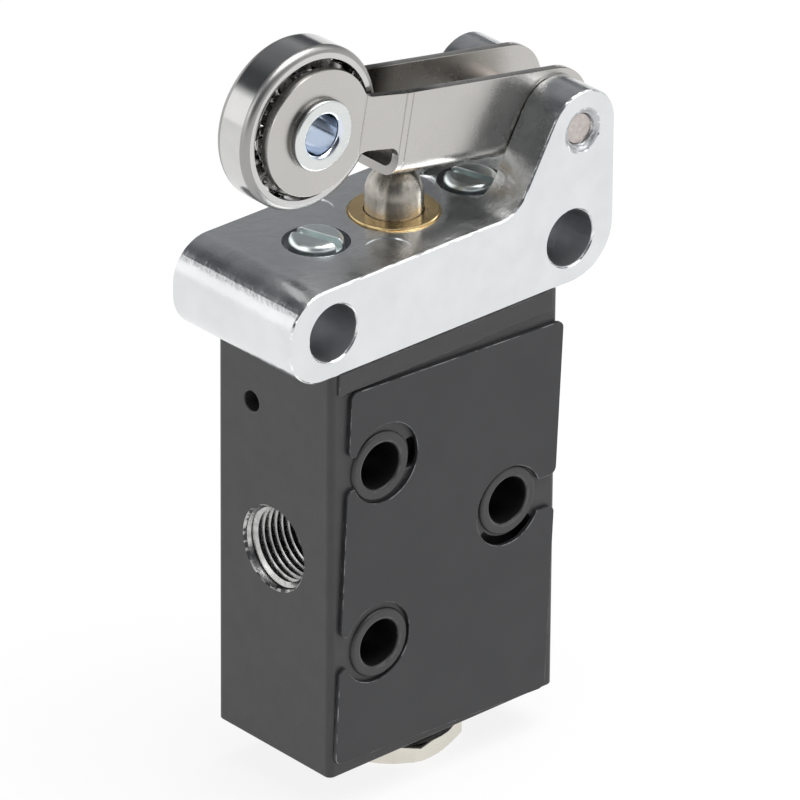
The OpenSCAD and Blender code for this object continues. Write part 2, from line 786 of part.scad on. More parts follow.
// Cross-section of the channel: two sides and the web, with round bends
module channel_section() {
    inner_w = lever_w - 2 * sheet;
    inner_r = bend_r - sheet;
    difference() {
        translate([-lever_w / 2, -web_drop]) square([lever_w, bend_r + sheet]);
        for (x = [0, 1]) flip(x, 0) translate([-lever_w / 2, -web_drop]) corner_cut(bend_r);
        difference() {
            translate([-inner_w / 2, sheet - web_drop]) square([inner_w, lever_h]);
            for (x = [0, 1]) flip(x, 0) translate([-inner_w / 2, sheet - web_drop]) corner_cut(inner_r);
        }
    }
}

module lever() {
    color("silver") on_lever() difference() {
        union() {
            intersection() {
                y_plate(2 * lever_w) cheek_profile();
                translate([0, 0, -reach]) linear_extrude(2 * reach)
                    for (y = [0, 1]) flip(0, y) cheek_plan();
            }
            translate([web_start, 0, 0]) rotate([90, 0, 90])
                linear_extrude(web_end - web_start) channel_section();
        }
        y_cylinder(pin_d + 2 * pin_clear, 2 * lever_w);
        translate([reach, 0, rise]) y_cylinder(rivet_shank_d, 2 * lever_w);
    }
}

module roller_rivet() {
    color("lightsteelblue") on_roller() difference() {
        union() {
            y_cylinder(rivet_shank_d, 2 * axle_half);
            y_cylinder(bearing_bore, 2 * eye_inner);
            for (side = [-1, 1]) rotate([side * 90, 0, 0]) translate([0, 0, eye_outer])
                rotate_extrude() difference() {
                    square([rivet_flange_d / 2, rivet_flange_t]);
                    for (y = [0, 1]) translate([rivet_flange_d / 2, y * rivet_flange_t])
                        flip(1, y) corner_cut(rivet_edge_r);
                }
        }
        y_cylinder(rivet_hole_d, 2 * axle_half + 2 * past);
        for (side = [-1, 1]) translate([0, side * axle_half, 0]) rotate([side * 90, 0, 0])
            mouth(rivet_hole_d, rivet_flare);
    }
}

// The track that the balls run in, as a section
module ball_track() {
    translate([ball_circle_d / 2, 0]) circle(ball_d / 2 + ball_clear);
}

module bearing_inner_ring() {
    color("lightgray") on_roller() y_turned() difference() {
        translate([bearing_bore / 2, -bearing_w / 2])
            square([(inner_land_d - bearing_bore) / 2, bearing_w]);
        ball_track();
        for (y = [0, 1]) flip(0, y)
            translate([bearing_bore / 2, -bearing_w / 2]) corner_cut(bore_edge_r);
    }
}

module bearing_outer_ring() {
    color("silver") on_roller() y_turned() difference() {
        translate([outer_land_d / 2, -bearing_w / 2])
            square([(bearing_d - outer_land_d) / 2, bearing_w]);
        ball_track();
        for (y = [0, 1]) flip(0, y)
            translate([bearing_d / 2, -bearing_w / 2]) flip(1, 0) corner_cut(bearing_edge_r);
    }
}

// Repeats its children at each ball, about Y
module at_balls() {
    for (k = [0 : ball_count - 1]) rotate([0, 360 * k / ball_count, 0])
        translate([ball_circle_d / 2, 0, 0]) children();
}

module bearing_balls() {
    color("white") on_roller() at_balls() sphere(d = ball_d);
}

module bearing_cage() {
    color("darkgray") on_roller() difference() {
        y_cylinder(ball_circle_d + cage_t, cage_w);
        y_cylinder(ball_circle_d - cage_t, cage_w + 2 * past);
        at_balls() sphere(d = ball_d + 2 * pocket_clear);
    }
}

body();
label_plate();
end_cap();
cap_washer();
return_spring();
spool();
for (i = [1 : stages + 1]) spool_seal(i);
for (i = [1 : stages]) spacer_cage(i);
top_guide();
head();
head_screws();
guide_bush();
plunger();
pivot_pin();
lever();
roller_rivet();
bearing_inner_ring();
bearing_outer_ring();
bearing_balls();
bearing_cage();
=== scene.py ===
"""Looks of a roller lever air valve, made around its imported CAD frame.

Meshes are modelled in millimetres and brought to metres as they are placed. +Z runs up the spool axis, the
roller is towards -X and the label faces -Y.
"""

import logging
import math
from dataclasses import dataclass
from enum import Enum
from functools import cache
from typing import Callable, Optional, Sequence, Union

import bmesh
import bpy
from mathutils import Matrix, Vector, noise


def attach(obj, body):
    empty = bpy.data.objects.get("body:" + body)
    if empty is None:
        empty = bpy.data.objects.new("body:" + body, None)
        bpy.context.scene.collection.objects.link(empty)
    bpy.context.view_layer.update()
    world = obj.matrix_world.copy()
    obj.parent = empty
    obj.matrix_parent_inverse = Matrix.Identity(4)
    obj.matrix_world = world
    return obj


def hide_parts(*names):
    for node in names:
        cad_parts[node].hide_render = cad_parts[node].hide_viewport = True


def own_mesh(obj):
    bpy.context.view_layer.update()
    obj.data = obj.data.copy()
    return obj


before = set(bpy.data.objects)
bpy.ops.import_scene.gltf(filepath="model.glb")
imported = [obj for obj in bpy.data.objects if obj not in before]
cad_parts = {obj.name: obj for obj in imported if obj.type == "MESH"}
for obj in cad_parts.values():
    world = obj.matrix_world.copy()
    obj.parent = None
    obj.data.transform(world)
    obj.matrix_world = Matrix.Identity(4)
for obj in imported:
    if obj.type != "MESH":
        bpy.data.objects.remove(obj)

Mesh = bmesh.types.BMesh
Face = bmesh.types.BMFace
Socket = bpy.types.NodeSocket
Value = Union[float, Socket]
Pair = tuple[float, float]
Triple = tuple[float, float, float]
Colour = Triple
Sky = tuple[tuple[float, Colour], ...]

LOG = logging.getLogger("valve")
MM = 0.001
JOINED = 0.002  # Distance in millimetres below which corners are joined.
FLAT = 0.4  # Angle in degrees below which neighbouring faces are joined.
SHARP = 35  # Angle in degrees from which an edge is shaded sharp.

# Places that several sub-assemblies share, and the lever's tilt at rest in degrees.
PIVOT: Triple = (18.95, 0.0, 73.1)
ROLLER: Triple = (-14.229, 0.0, 81.223)
LEVER_TILT = 10.4


class Body(Enum):
    """The bodies that the pieces ride on."""

    VALVE = "valve"
    LEVER = "lever"
    ROLLER = "roller"
    BALL_SET = "ball_set"
    PLUNGER = "plunger"


class Slot(Enum):
    """The record's material slots."""

    BLACK_COAT = "black_coat"
    LABEL = "label_black"
    NICKEL = "nickel_plate"
    RUBBER = "seal_rubber"
    SPRING = "spring_steel"
    SPOOL = "spool_alloy"
    BRASS = "brass"
    ZINC = "cast_zinc"
    BLUE_ZINC = "blue_zinc"
    PLUNGER = "plunger_steel"
    PIN = "pin_steel"
    LEVER = "lever_steel"
    BEARING = "bearing_steel"
    CAGE = "cage_steel"


class Mark(Enum):
    """Face attributes that tell a finish which faces are special."""

    # Rounded faces: wear with painted highlight on the casting and the coat, painted highlight on the screws,
    # painted shade on the rivet's flange sides.
    WEAR_AND_LIGHT = "wear_and_light"
    # Faces with a second colour: painted shade in bores and in the lever's channel, a real tint or band
    # elsewhere.
    TINTED = "tinted"
    BARE = "bare"


class Graph:
    """A node tree, with short calls for the nodes that the finishes and the surroundings share."""

    def __init__(self, owner: Union[bpy.types.Material, bpy.types.World]) -> None:
        """Starts the tree.

        Args:
            owner: The material or the world that holds it.
        """
        owner.use_nodes = True
        self.tree = owner.node_tree
        self.coordinates = self.node("ShaderNodeTexCoord", 0, {}).node.outputs

    def feed(self, target: Socket, value: object) -> None:
        """Sets a socket to a constant, or links it where the value is a socket.

        Args:
            target: The socket to fill.
            value: A constant or an output socket.
        """
        if isinstance(value, bpy.types.NodeSocket):
            self.tree.links.new(value, target)
        else:
            target.default_value = value

    def node(
        self, kind: str, output: Union[str, int], inputs: dict[Union[str, int], object], **settings: object,
    ) -> Socket:
        """Adds a node and fills its inputs.

        Args:
            kind: The node's type name.
            output: Name or number of the output that is wanted.
            inputs: Constants or sockets, by the input's name or number.
            **settings: Properties of the node.

        Returns:
            The output.
        """
        made = self.tree.nodes.new(kind)
        for key, value in settings.items():
            setattr(made, key, value)
        for key, value in inputs.items():
            self.feed(made.inputs[key], value)
        return made.outputs[output]

    def spread(self, value: Socket, low: Value, high: Value, start: float = 0.35, end: float = 0.65) -> Socket:
        """Maps the stretch of a value from start to end onto low to high, and holds it beyond."""
        inputs = {"Value": value, "From Min": start, "From Max": end, "To Min": low, "To Max": high}
        return self.node("ShaderNodeMapRange", "Result", inputs, clamp=True)

    def math(self, operation: str, first: Value, second: Value = 0.0) -> Socket:
        """Combines two values by an operation of the Math node."""
        return self.node("ShaderNodeMath", 0, {0: first, 1: second}, operation=operation)

    def vector(self, operation: str, first: Socket, second: Sequence[float] = (0, 0, 0)) -> Socket:
        """Combines two vectors by an operation of the Vector Math node."""
        output = "Value" if operation in ("DOT_PRODUCT", "LENGTH") else "Vector"
        return self.node("ShaderNodeVectorMath", output, {0: first, 1: second}, operation=operation)

    def blend(self, share: Value, first: object, second: object) -> Socket:
        """Mixes two colours, from all of the first at 0 to all of the second at 1."""
        first, second = ((*given, 1) if isinstance(given, tuple) else given for given in (first, second))
        return self.node("ShaderNodeMix", 2, {0: share, 6: first, 7: second}, data_type="RGBA")


class Surface(Graph):
    """A material that is being made, with what it has of metal, colour, roughness and relief so far."""

    def __init__(self, name: str) -> None:
        """Starts the material.

        Args:
            name: The material's name.
        """
        self.material = bpy.data.materials.new(name)
        super().__init__(self.material)
        self.shader = self.tree.nodes["Principled BSDF"]
        self.place = self.coordinates["Object"]
        self.metal: Value = 1.0
        self.tone: Optional[Socket] = None
        self.dull: Optional[Socket] = None
        self.normal: Optional[Socket] = None

    def set(self, name: str, value: object) -> None:
        """Fills one of the shader's own sockets by its name."""
        self.feed(self.shader.inputs[name], value)

    def mark(self, mark: Mark) -> Socket:
        """Reads a face attribute."""
        return self.node("ShaderNodeAttribute", "Fac", {}, attribute_name=mark.value)

    def mapped(self, scale: Sequence[float], turn: Sequence[float]) -> Socket:
        """Scales the object coordinates and turns them by degrees."""
        inputs = {"Vector": self.place, "Scale": scale, "Rotation": [math.radians(a) for a in turn]}
        return self.node("ShaderNodeMapping", "Vector", inputs)

    def noise(self, size: float, detail: float = 3, where: Optional[Socket] = None) -> Socket:
        """Gives a noise of about 0.5, with blobs of a size in millimetres."""
        inputs = {"Vector": where or self.place, "Scale": 1 / (size * MM), "Detail": detail, "Roughness": 0.55}
        return self.node("ShaderNodeTexNoise", "Fac", inputs)

    def paint(self, share: Value, colour: object) -> None:
        """Lays a share of a colour over the colour so far."""
        self.tone = self.blend(share, self.tone, colour)

    def tint(self, mark: Mark, colour: Colour, roughness: float) -> None:
        """Gives the marked faces a colour, and a roughness where they are smoother."""
        self.paint(self.mark(mark), colour)
        self.dull = self.math("MAXIMUM", self.dull, self.math("MULTIPLY", self.mark(mark), roughness))

    def emboss(self, height: Socket, depth: float) -> None:
        """Raises the surface by a pattern.

        Args:
            height: The pattern.
            depth: Height in millimetres where the pattern is 1.
        """
        inputs = {"Strength": 1, "Distance": depth * MM, "Height": height}
        if self.normal is not None:
            inputs["Normal"] = self.normal
        self.normal = self.node("ShaderNodeBump", "Normal", inputs)


@dataclass(frozen=True)
class Finish:
    """A surface with slow patches of tone and gloss over a fine grain; widths and depths in millimetres."""

    name: str
    slot: Slot  # The record's slot that it belongs to.
    colour: Colour  # Colour of the lighter patches.
    shade: Colour  # Colour of the darker patches.
    roughness: Pair  # Roughness of the glossy and of the dull patches.
    patch: float  # Width of a patch.
    grain: float  # Width of the grain.
    depth: float  # Depth of the grain.
    metallic: float = 1.0  # 1 for metal, 0 for a coat or rubber.
    stretch: Triple = (1.0, 1.0, 1.0)  # Factors along the axes; a small one draws the grain out.
    turn: Triple = (0.0, 0.0, 0.0)  # Turn of the drawn-out grain in degrees.

    @cache
    def material(self) -> bpy.types.Material:
        """Makes the material, the first time it is asked for.

        Returns:
            The material.
        """
        skin = Surface(self.name)
        self.dress(skin)
        skin.set("Metallic", skin.metal)
        skin.set("Base Color", skin.tone)
        skin.set("Roughness", skin.dull)
        skin.set("Normal", skin.normal)
        return skin.material

    def dress(self, skin: Surface) -> None:
        """Lays on the patches and the grain.

        Args:
            skin: The material so far.
        """
        skin.metal = self.metallic
        patches = skin.spread(skin.noise(self.patch), 0, 1)
        skin.tone = skin.blend(patches, self.colour, self.shade)
        skin.dull = skin.spread(skin.noise(self.patch * 0.6, 4), *self.roughness)
        skin.emboss(skin.noise(self.grain, 2, skin.mapped(self.stretch, self.turn)), self.depth)


@dataclass(frozen=True)
class CastFinish(Finish):
    """A die-cast skin with flow marks, fine scratches, duller bores with painted shade, and chipped edges with
    painted highlight.
    """

    bright: Colour = (0.95, 0.95, 0.95)  # Bright chips on the edges: wear with painted highlight.
    dark: Colour = (0.5, 0.5, 0.51)  # Dark chips on the edges.
    chip: float = 1.5  # Width of the chips.
    chip_depth: float = 0.1  # Depth of the chips.
    flow: float = 1.7  # Width of the flow marks.
    flow_depth: float = 0.05  # Depth of the flow marks.
    scratch: float = 0.9  # Width of the scratches.
    # Painted shade in the marked bores, counterbores and staked dishes.
    bore: Colour = (0.54, 0.55, 0.565)
    bore_roughness: float = 0.42

    def dress(self, skin: Surface) -> None:
        """Adds the scratches, the painted shade of the bores, the chips with their painted highlight and the
        flow marks.

        Args:
            skin: The material so far.
        """
        super().dress(skin)
        lines = skin.noise(self.scratch, 2, skin.mapped((0.12, 1.0, 1.6), (8, 20, 12)))
        skin.paint(skin.spread(lines, 0, 0.35, 0.7, 0.76), self.shade)
        # Painted shade and a duller gloss in the marked bores.
        skin.tint(Mark.TINTED, self.bore, self.bore_roughness)
        whole, wear_and_light, chips = skin.tone, skin.mark(Mark.WEAR_AND_LIGHT), skin.noise(self.chip, 4)
        # Bright chips on the rounded edges: wear with painted highlight.
        skin.paint(skin.spread(chips, 0, 1, 0.56, 0.62), self.bright)
        skin.paint(skin.spread(chips, 1, 0, 0.35, 0.43), self.dark)
        skin.tone = skin.blend(wear_and_light, whole, skin.tone)
        skin.emboss(skin.noise(self.flow, 3), self.flow_depth)
        skin.emboss(skin.math("MULTIPLY", chips, wear_and_light), self.chip_depth)


@dataclass(frozen=True)
class CoatFinish(Finish):
    """A black coat with fine pale specks, lighter edges that show wear and painted highlight, painted shade in
    its bores and bare metal where it is marked.
    """

    metallic: float = 0.0
    speck: float = 0.28  # Width of the specks.
    speck_colour: Colour = (0.11, 0.11, 0.11)
    # Lighter edges: partly wear, partly painted highlight.
    edge: Colour = (0.10, 0.10, 0.105)
    edge_share: float = 0.6  # How much of the edge colour shows.
    bore: Colour = (0.006, 0.006, 0.006)  # Painted shade in the marked bores.
    metal_colour: Colour = (0.55, 0.55, 0.54)  # Marked bare metal.
    ragged: float = 1.8  # Width of the ragged patches where metal or a worn edge shows.

    def dress(self, skin: Surface) -> None:
        """Adds the specks, the edges' wear with painted highlight, the painted shade of the bores and the bare
        metal.

        Args:
            skin: The material so far.
        """
        super().dress(skin)
        ragged = skin.noise(self.ragged, 3)
        wear_and_sheen = skin.spread(ragged, 0, self.edge_share, 0.46, 0.6)
        gone = skin.spread(ragged, 0, 1, 0.47, 0.53)
        skin.metal = skin.math("MULTIPLY", gone, skin.mark(Mark.BARE))
        skin.paint(skin.spread(skin.noise(self.speck, 2), 0, 1, 0.74, 0.8), self.speck_colour)
        # Rounded edges: wear with painted highlight.
        skin.paint(skin.math("MULTIPLY", skin.mark(Mark.WEAR_AND_LIGHT), wear_and_sheen), self.edge)
        # Painted shade in the bores.
        skin.paint(skin.mark(Mark.TINTED), self.bore)
        skin.paint(skin.metal, self.metal_colour)


@dataclass(frozen=True)
class TintedFinish(Finish):
    """A plated metal whose marked faces have a second tint, and whose rounded faces carry painted light."""

    tint: Colour = (0.70, 0.755, 0.84)  # Colour of the marked faces.
    tint_roughness: float = 0.12  # Roughness of the marked faces.
    side: Colour = (0.16, 0.16, 0.16)  # Painted light on the rounded faces; painted shade by default.

    def dress(self, skin: Surface) -> None:
        """Lays painted light on the rounded faces, and tints and polishes the marked ones.

        Args:
            skin: The material so far.
        """
        super().dress(skin)
        marked = skin.mark(Mark.TINTED)
        skin.paint(skin.mark(Mark.WEAR_AND_LIGHT), self.side)
        skin.paint(marked, self.tint)
        skin.dull = skin.spread(marked, skin.dull, self.tint_roughness, 0, 1)


@dataclass(frozen=True)
class RoundFinish(Finish):
    """A metal with fine turned or ground rings about an axis."""

    centre: Triple = (0.0, 0.0, 0.0)  # A point on the axis.
    axis: Triple = (0.0, 0.0, 1.0)  # Direction of the axis.
    ring: float = 0.18  # Distance between the rings.
    ring_depth: float = 0.004  # Depth of the rings.
    streak: float = 0.0  # How far the rings draw a highlight out across them, from 0 to 1.

    def dress(self, skin: Surface) -> None:
        """Adds rings that follow the radius and the height.

        Args:
            skin: The material so far.
        """
        super().dress(skin)
        skin.set("Anisotropic", self.streak)
        skin.set("Anisotropic Rotation", 0.25)
        away = skin.vector("SUBTRACT", skin.place, [c * MM for c in self.centre])
        radius = skin.vector("LENGTH", skin.vector("MULTIPLY", away, [1 - a for a in self.axis]))
        height = skin.vector("DOT_PRODUCT", away, self.axis)
        line = skin.node("ShaderNodeCombineXYZ", 0, {0: radius, 1: height})
        skin.emboss(skin.noise(self.ring, 2, line), self.ring_depth)


@dataclass(frozen=True)
class BandFinish(RoundFinish):
    """A ground metal whose marked edges are darker and duller."""

    band: Colour = (0.36, 0.355, 0.35)  # Colour of the marked edges.
    band_roughness: float = 0.34  # Roughness of the marked edges.

    def dress(self, skin: Surface) -> None:
        """Adds the edges."""
        super().dress(skin)
        skin.tint(Mark.TINTED, self.band, self.band_roughness)


@dataclass(frozen=True)
class SheetFinish(Finish):
    """A rolled sheet with painted shade along fine lines where it was bent, and painted shade inside its
    channel.
    """

    pivot: Triple = PIVOT  # A point that the lines are measured from.
    # Direction across the lines.
    along: Triple = (-math.cos(math.radians(LEVER_TILT)), 0.0, math.sin(math.radians(LEVER_TILT)))
    creases: tuple[float, ...] = (21.3, 22.24, 27.64)  # Distance of each line from the pivot.
    crease: float = 0.12  # Half the width of a line.
    # Painted shade along each bend line.
    crease_shade_colour: Colour = (0.3, 0.29, 0.28)
    crease_shade_share: float = 0.6  # How much of that colour shows.
    crease_depth: float = 0.03
    # Where the painted shade on the marked inner faces starts and ends, from the pivot.
    hollow: Pair = (17.0, 28.5)
    channel_shade_colour: Colour = (0.075, 0.072, 0.066)  # Colour of that painted shade.

    def dress(self, skin: Surface) -> None:
        """Adds the painted shade of the bend lines and of the channel's inside.

        Args:
            skin: The material so far.
        """
        super().dress(skin)
        away = skin.vector("SUBTRACT", skin.place, [c * MM for c in self.pivot])
        reach = skin.vector("DOT_PRODUCT", away, self.along)
        nearest: Value = 1.0
        for crease in self.creases:
            apart = skin.math("ABSOLUTE", skin.math("SUBTRACT", reach, crease * MM))
            nearest = skin.math("MINIMUM", nearest, apart)
        lines = skin.spread(nearest, 1, 0, 0.02 * MM, self.crease * MM)
        # Painted shade along the bend lines.
        skin.paint(skin.math("MULTIPLY", lines, self.crease_shade_share), self.crease_shade_colour)
        start, end = (h * MM for h in self.hollow)
        begun = skin.spread(reach, 0, 1, start, start + 3 * MM)
        inside = skin.math("MULTIPLY", begun, skin.spread(reach, 1, 0, end, end + MM))
        # Painted shade on the channel's inner faces.
        skin.paint(skin.math("MULTIPLY", inside, skin.mark(Mark.TINTED)), self.channel_shade_colour)
        skin.emboss(skin.math("SUBTRACT", 1.0, lines), self.crease_depth)


ZINC = CastFinish(
    "die_cast_zinc", Slot.ZINC, (0.76, 0.775, 0.785), (0.715, 0.73, 0.74), (0.19, 0.27), 5, 0.45, 0.02,
)
THREAD = Finish("cut_thread", Slot.ZINC, (0.58, 0.58, 0.57), (0.42, 0.42, 0.42), (0.18, 0.3), 0.7, 0.1, 0.01)
COAT = CoatFinish(
    "satin_black_coat", Slot.BLACK_COAT, (0.031, 0.0305, 0.031), (0.036, 0.0355, 0.036), (0.39, 0.44),
    3, 0.22, 0.02,
)
# Its edges are much lighter: wear with painted highlight.
LABEL = CoatFinish(
    "satin_black_plate", Slot.LABEL, (0.0195, 0.02, 0.0225), (0.0235, 0.024, 0.0265), (0.37, 0.41),
    6, 0.16, 0.008, speck=0.2, edge=(0.3, 0.3, 0.31), edge_share=0.7,
)
NICKEL = Finish(
    "satin_nickel", Slot.NICKEL, (0.74, 0.71, 0.63), (0.71, 0.68, 0.605), (0.24, 0.3), 1.6, 0.3, 0.004,
)
RUBBER = Finish(
    "seal_rubber", Slot.RUBBER, (0.026, 0.025, 0.024), (0.034, 0.033, 0.031), (0.36, 0.5), 1, 0.1, 0.006, 0,
)
SPRING = Finish("spring_wire", Slot.SPRING, (0.5, 0.5, 0.52), (0.42, 0.42, 0.44), (0.25, 0.35), 0.8, 0.1, 0.004)
SPOOL = RoundFinish(
    "ground_spool", Slot.SPOOL, (0.7, 0.7, 0.72), (0.64, 0.64, 0.66), (0.16, 0.24), 2, 0.1, 0.002,
)
BRASS = RoundFinish(
    "turned_brass", Slot.BRASS, (0.82, 0.62, 0.33), (0.76, 0.56, 0.285), (0.2, 0.28), 1.8, 0.2, 0.002,
    ring_depth=0.0015,
)
PLUNGER = RoundFinish(
    "turned_steel", Slot.PLUNGER, (0.47, 0.44, 0.395), (0.38, 0.355, 0.315), (0.22, 0.28), 1.5, 0.16, 0.004,
    stretch=(1.0, 1.0, 0.06), ring=0.13, ring_depth=0.006, streak=0.95,
)
# Its rounded edges carry a painted highlight through side.
SCREW = TintedFinish(
    "blue_zinc_plate", Slot.BLUE_ZINC, (0.88, 0.94, 0.935), (0.83, 0.90, 0.895), (0.28, 0.38), 1.1, 0.3, 0.01,
    side=(0.97, 0.98, 0.98),
)
# Its flange sides carry painted shade through the default side colour.
RIVET = TintedFinish(
    "blue_zinc_rivet", Slot.BLUE_ZINC, (0.72, 0.745, 0.735), (0.69, 0.715, 0.71), (0.26, 0.32), 1.2, 0.3, 0.003,
)
PIN = Finish("cut_pin_end", Slot.PIN, (0.62, 0.57, 0.54), (0.52, 0.47, 0.45), (0.34, 0.46), 0.6, 0.12, 0.02)
SHEET = SheetFinish(
    "satin_sheet", Slot.LEVER, (0.545, 0.532, 0.508), (0.525, 0.512, 0.488), (0.26, 0.3), 6, 0.2, 0.001,
    stretch=(0.1, 1.0, 1.0), turn=(0, -LEVER_TILT, 0),
)
RING = BandFinish(
    "ground_ring", Slot.BEARING, (0.62, 0.615, 0.61), (0.6, 0.595, 0.59), (0.12, 0.15), 2, 0.1, 0.001,
    centre=ROLLER, axis=(0.0, 1.0, 0.0), ring=0.12, ring_depth=0.0015,
)
BALL = Finish("polished_ball", Slot.BEARING, (0.72,) * 3, (0.68,) * 3, (0.05, 0.08), 1, 0.1, 0.0005)
RIBBON = Finish(
    "pressed_ribbon", Slot.CAGE, (0.42, 0.41, 0.40), (0.3, 0.29, 0.28), (0.24, 0.36), 0.8, 0.1, 0.006,
)


def with_marks(mesh: Mesh) -> Mesh:
    """Gives a mesh the face attributes, all at 0.

    Args:
        mesh: The mesh.

    Returns:
        The same mesh.
    """
    for mark in Mark:
        mesh.faces.layers.float.new(mark.value)
    return mesh


def mark_faces(mesh: Mesh, mark: Mark, chosen: Callable[[Face], bool]) -> None:
    """Sets a face attribute to 1 on the chosen faces.

    Args:
        mesh: The mesh.
        mark: The attribute.
        chosen: Says whether a face is marked.
    """
    layer = mesh.faces.layers.float[mark.value]
    for face in filter(chosen, mesh.faces):
        face[layer] = 1.0


def face_points(face: Face) -> list[Vector]:
    """Gives a face's corners and its middle."""
    return [*(vert.co for vert in face.verts), face.calc_center_median()]


def carried(node: str) -> Mesh:
    """Copies a CAD node's mesh in millimetres, with its loose triangles joined into plain faces.

    Args:
        node: The CAD node's name.

    Returns:
        The joined copy.
    """
    mesh = bmesh.new()
    mesh.from_mesh(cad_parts[node].data)
    bmesh.ops.scale(mesh, vec=(1 / MM,) * 3, verts=mesh.verts)
    bmesh.ops.remove_doubles(mesh, verts=mesh.verts, dist=JOINED)
    bmesh.ops.dissolve_limit(mesh, angle_limit=math.radians(FLAT), verts=mesh.verts, edges=mesh.edges)
    return with_marks(mesh)


def round_edges(
    mesh: Mesh, width: float, segments: int = 3, least: float = 32,
    chosen: Callable[[Vector], bool] = lambda middle: True,
) -> None:
    """Rounds the sharp outer edges within the mesh's own box, and marks the new faces for wear and painted
    light.

    Args:
        mesh: The mesh, in millimetres.
        width: Width of the rounding.
        segments: Faces across the rounding.
        least: Smallest angle of an edge that is rounded, in degrees.
        chosen: Says from an edge's middle whether it is rounded.
    """
    edges = [
        e for e in mesh.edges
        if e.is_manifold and e.is_convex and e.calc_face_angle() > math.radians(least)
        and chosen((e.verts[0].co + e.verts[1].co) / 2)
    ]
    low, high = ([pick(v.co[k] for v in mesh.verts) for k in range(3)] for pick in (min, max))
    made = bmesh.ops.bevel(
        mesh, geom=edges, offset=width, offset_type="OFFSET", affect="EDGES", segments=segments,
        profile=0.5, material=-1, clamp_overlap=False,
    )
    for vert in mesh.verts:
        vert.co = [min(max(c, a), b) for c, a, b in zip(vert.co, low, high)]
    rounded = set(made["faces"])
    mark_faces(mesh, Mark.WEAR_AND_LIGHT, lambda face: face in rounded)


def nick_edges(mesh: Mesh, step: float, depth: float) -> None:
    """Dents the rounded edges, between cuts across X.

    Args:
        mesh: The mesh with its rounded faces marked for wear and painted light, in millimetres.
        step: Distance between the cuts.
        depth: Greatest depth of a dent.
    """
    reach = [vert.co.x for vert in mesh.verts]
    count = int((max(reach) - min(reach)) / step)
    for k in range(1, count):
        bmesh.ops.bisect_plane(
            mesh, geom=[*mesh.verts, *mesh.edges, *mesh.faces], dist=0.0005,
            plane_co=(min(reach) + k * step, 0, 0), plane_no=(1, 0, 0),
        )
    layer = mesh.faces.layers.float[Mark.WEAR_AND_LIGHT.value]
    for vert in mesh.verts:
        if all(face[layer] for face in vert.link_faces):
            dent = 0.5 + 0.5 * noise.noise(vert.co * 1.3) + 0.4 * noise.noise(vert.co * 3.1)
            vert.co -= vert.normal * depth * min(max(dent, 0.0), 1.0)


def arc(centre: Pair, radius: float, start: float, end: float, count: int = 8) -> list[Pair]:
    """Gives points on an arc of a section, from a start to an end angle in degrees."""
    angles = [math.radians(start + (end - start) * k / count) for k in range(count + 1)]
    return [(centre[0] + radius * math.cos(a), centre[1] + radius * math.sin(a)) for a in angles]


def mirrored(half: Sequence[Pair]) -> list[Pair]:
    """Closes a section by its own mirror image below the middle."""
    return [*half, *((r, -z) for r, z in reversed(half))]


def spun(corners: Sequence[Pair], steps: int) -> Mesh:
    """Turns a closed section about Z into a ring.

    Args:
        corners: The section's corners as radius and height.
        steps: Faces round the ring.

    Returns:
        The ring.
    """
    mesh = bmesh.new()
    points = [mesh.verts.new((r, 0, z)) for r, z in corners]
    edges = [mesh.edges.new(pair) for pair in zip(points, points[1:] + points[:1])]
    bmesh.ops.spin(
        mesh, geom=points + edges, cent=(0, 0, 0), axis=(0, 0, 1), angle=math.tau, steps=steps, use_merge=True,
    )
    bmesh.ops.remove_doubles(mesh, verts=mesh.verts, dist=0.001)
    bmesh.ops.recalc_face_normals(mesh, faces=mesh.faces)
    return with_marks(mesh)


def helix(corners: Sequence[Pair], stretches: Sequence[Pair], steps: int) -> Mesh:
    """Winds a closed section about Z.

    Args:
        corners: The section's corners as radius and height.
        stretches: Turns and climb of each stretch of the winding.
        steps: Faces per turn.

    Returns:
        The winding, closed at both ends.
    """
    mesh = bmesh.new()
    last = [mesh.faces.new([mesh.verts.new((r, 0, z)) for r, z in corners])]
    for turns, climb in stretches:
        count = max(1, round(turns * steps))
        made = bmesh.ops.spin(
            mesh, geom=last, cent=(0, 0, 0), axis=(0, 0, 1), dvec=(0, 0, climb / count),
            angle=math.tau * turns, steps=count, use_merge=False,
        )
        last = [item for item in made["geom_last"] if isinstance(item, Face)]
    bmesh.ops.recalc_face_normals(mesh, faces=mesh.faces)
    return mesh


def laid(mesh: Mesh, at: Sequence[float], *turns: tuple[float, str]) -> Mesh:
    """Turns a mesh and moves it.

    Args:
        mesh: The mesh.
        at: Where its origin goes.
        *turns: Degrees and axis of each turn, the last one done first.

    Returns:
        The same mesh.
    """
    matrix = Matrix.Translation(at)
    for angle, axis in turns:
        matrix = matrix @ Matrix.Rotation(math.radians(angle), 4, axis)
    bmesh.ops.transform(mesh, matrix=matrix, verts=mesh.verts)
    return mesh


def on_roller(mesh: Mesh, turn: float = 0.0) -> Mesh:
    """Lays a mesh that was spun about Z onto the roller's axis, with a turn about it in degrees."""
    return laid(mesh, ROLLER, (turn, "Y"), (90, "X"))


